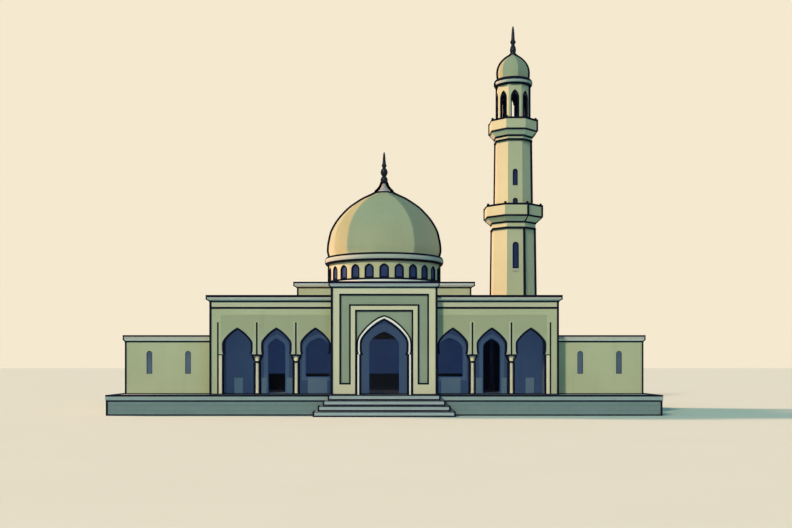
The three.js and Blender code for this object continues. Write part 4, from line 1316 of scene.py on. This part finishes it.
def wing(side, sign):
    lines, panes = bmesh.new(), bmesh.new()

    def plan(x, y0, y1):
        return [(sign * u, v) for u, v in ((HALF, y0), (x, y0), (x, y1), (HALF, y1))][::sign]

    rim(lines, plan(WING_ROOF_SIDE, WING_ROOF_FRONT, WING_ROOF_REAR), WING_ROOF, 0.085, 0.016, False)
    wall = plan(WING_OUTER, WING_FRONT, WING_REAR)
    course(lines, wall, WING_TOP - 0.04, WING_TOP + 0.045, 0.045, False)
    out = WING_ROOF_SIDE - WING_OUTER
    for y, sy in ((WING_FRONT, -1), (WING_REAR, 1)):
        corner(lines, sign * WING_OUTER, y, sign, sy, FLOOR, WING_TOP, WING_ROOF, out)
    front, rear, flank = on_front(WING_FRONT), on_rear(WING_REAR), on_flank(WING_OUTER, sign)
    slits = [(sign * x, front) for x in WING_SLIT_X] + [(-sign * x, rear) for x in WING_SLIT_X]
    for centre, place in slits + [(y, flank) for y in WING_SLIT_Y]:
        outline = rounded(centre, *WING_SLIT)
        bead(lines, outline, place, -0.018, 0.0, 0.0, 0.12, True)
        pane(panes, outline, place, -0.04, -0.08)
    piece(f"wing_lines_{side}", lines)
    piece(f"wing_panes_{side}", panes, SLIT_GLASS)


def field_line(bm, outline, place):
    """A line round the shallow field of a wall."""
    bead(bm, outline, place, -0.045, 0.04, 0.02, RECESS, True)


def rear_details():
    """Frames, bars and panes of the rear windows and the field's line."""
    lines, panes = bmesh.new(), bmesh.new()
    place = on_rear(REAR - RECESS)
    _, sill, top = REAR_WINDOW
    for x in REAR_WINDOW_X:
        outline = rounded(-x, *REAR_WINDOW)
        bead(lines, outline, place, -0.05, 0.02, 0.02, 0.15, True)
        pane(panes, outline, place, -0.10, -0.14)
        bead(lines, [(-x, sill), (-x, top)], place, -0.02, 0.02, -0.07, 0.11)
    field_line(lines, rectangle(*REAR_FIELD), on_rear(REAR))
    piece("rear_lines", lines)
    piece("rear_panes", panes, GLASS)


for side, sign in SIDES:
    wing(side, sign)
    side_line = bmesh.new()
    first, last = FRONT + SIDE_FIELD_FRONT, (BASE_FRONT if sign > 0 else REAR) - SIDE_FIELD_REAR
    field_line(side_line, rectangle(first, SIDE_FIELD_FOOT, last, FIELD_TOP), on_flank(HALF, sign))
    piece(f"side_field_line_{side}", side_line)
rear_details()


# Floor, light and camera


def studio_floor():
    bm = bmesh.new()
    reach = 600.0
    box(bm, -reach, -reach, -0.05, reach, reach, 0.0)
    finish = Finish("studio_floor", 0.95, 0.05)
    first, second = painted(FLOOR_LIGHT, 226, 218, 196), painted(FLOOR_LIGHT, 230, 222, 200)
    finish.feed(finish.shader, {"Base Color": finish.mix(finish.noise(0.2, 2.0), first, second)})
    obj = from_mesh("studio_floor", bm, finish.material)
    obj.visible_diffuse = False


def studio_world():
    """Cream backdrop for the eye, cool soft light for the surfaces."""
    world = bpy.data.worlds.new("studio")
    world.use_nodes = True
    nodes, links = world.node_tree.nodes, world.node_tree.links
    light = nodes["Background"]
    light.inputs["Color"].default_value = AMBIENT + (1.0,)
    backdrop = nodes.new("ShaderNodeBackground")
    backdrop.inputs["Color"].default_value = tone(245, 233, 208)
    mix = nodes.new("ShaderNodeMixShader")
    links.new(nodes.new("ShaderNodeLightPath").outputs["Is Camera Ray"], mix.inputs["Fac"])
    links.new(light.outputs["Background"], mix.inputs[1])
    links.new(backdrop.outputs["Background"], mix.inputs[2])
    links.new(mix.outputs["Shader"], nodes["World Output"].inputs["Surface"])
    bpy.context.scene.world = world
    bpy.context.scene.view_settings.view_transform = "Standard"


def sun(name, origin, colour, softness, lit, shadow=True):
    """A far lamp towards origin; colour is what a white wall that faces it would show."""
    lamp = bpy.data.lights.new(name, "SUN")
    lamp.energy = pi * max(colour)
    lamp.color = tuple(v / max(colour) for v in colour)
    lamp.angle = radians(softness)
    lamp.use_shadow = shadow
    obj = added(name, lamp)
    obj.rotation_euler = (-Vector(origin)).to_track_quat("-Z", "Y").to_euler()
    obj.light_linking.receiver_collection = lit


SHADED_PIECES = ("hall_front_wall", "hall_surrounds", "hall_opening_linings", "dado_panels", "rear_glass")


def studio_lights():
    """The warm lamps skip the portico's inner wall; the rim lamp also skips slate lines and finials."""
    names = ("key_lit", "rim_lit", "flat_lit", "great_dome", "small_dome")
    key_lit, rim_lit, flat_lit, *domes = map(bpy.data.collections.new, names)
    for obj in [o for o in bpy.context.scene.objects if o.type == "MESH"]:
        if obj.data.materials[0] == DOME:
            domes["minaret" in obj.name].objects.link(obj)
            continue
        flat_lit.objects.link(obj)
        if obj.name not in SHADED_PIECES:
            key_lit.objects.link(obj)
            if obj.data.materials[0] not in (SLATE, METAL):
                rim_lit.objects.link(obj)
    sun("key_light", KEY_FROM, KEY, 5, key_lit)
    sun("rim_light", RIM_FROM, RIM, 8, rim_lit)
    fill = tuple(-0.5 * f / FILL_FROM.y for f in FILL)
    for side, sign in SIDES:
        sun(f"fill_light_{side}", (sign * FILL_FROM.x, FILL_FROM.y, FILL_FROM.z), fill, 20, flat_lit, False)
    for name, (*degrees, colour) in DOME_LAMPS.items():
        for lit, angle in zip(domes, map(radians, degrees)):
            sun(f"{lit.name}_{name}", (-sin(angle), -cos(angle), 0.0), colour, 1, lit, False)


studio_floor()
studio_world()
studio_lights()

# The camera stands level on the building's axis, in front of the arcade. The picture is 792 pixels
# wide, with its middle at row 264; its horizon is at row 364 and the building's axis at column 384.15.
EYE_HEIGHT, EYE_DISTANCE = 2.83, 55.56
WIDTH, FOCAL, MIDDLE_ROW, HORIZON_ROW, AXIS_COLUMN = 792, 1000, 264, 364, 384.15
view = bpy.data.cameras.new("photo_camera")
view.sensor_width = 36.0
view.lens = view.sensor_width * FOCAL / WIDTH
view.shift_y = (HORIZON_ROW - MIDDLE_ROW) / WIDTH
view.shift_x = (WIDTH / 2 - AXIS_COLUMN) / WIDTH
view.clip_end = 2000
camera = added("photo_camera", view)
camera.location = (0.0, FRONT - EYE_DISTANCE, EYE_HEIGHT)
camera.rotation_euler = (pi / 2, 0.0, 0.0)
bpy.context.scene.camera = camera
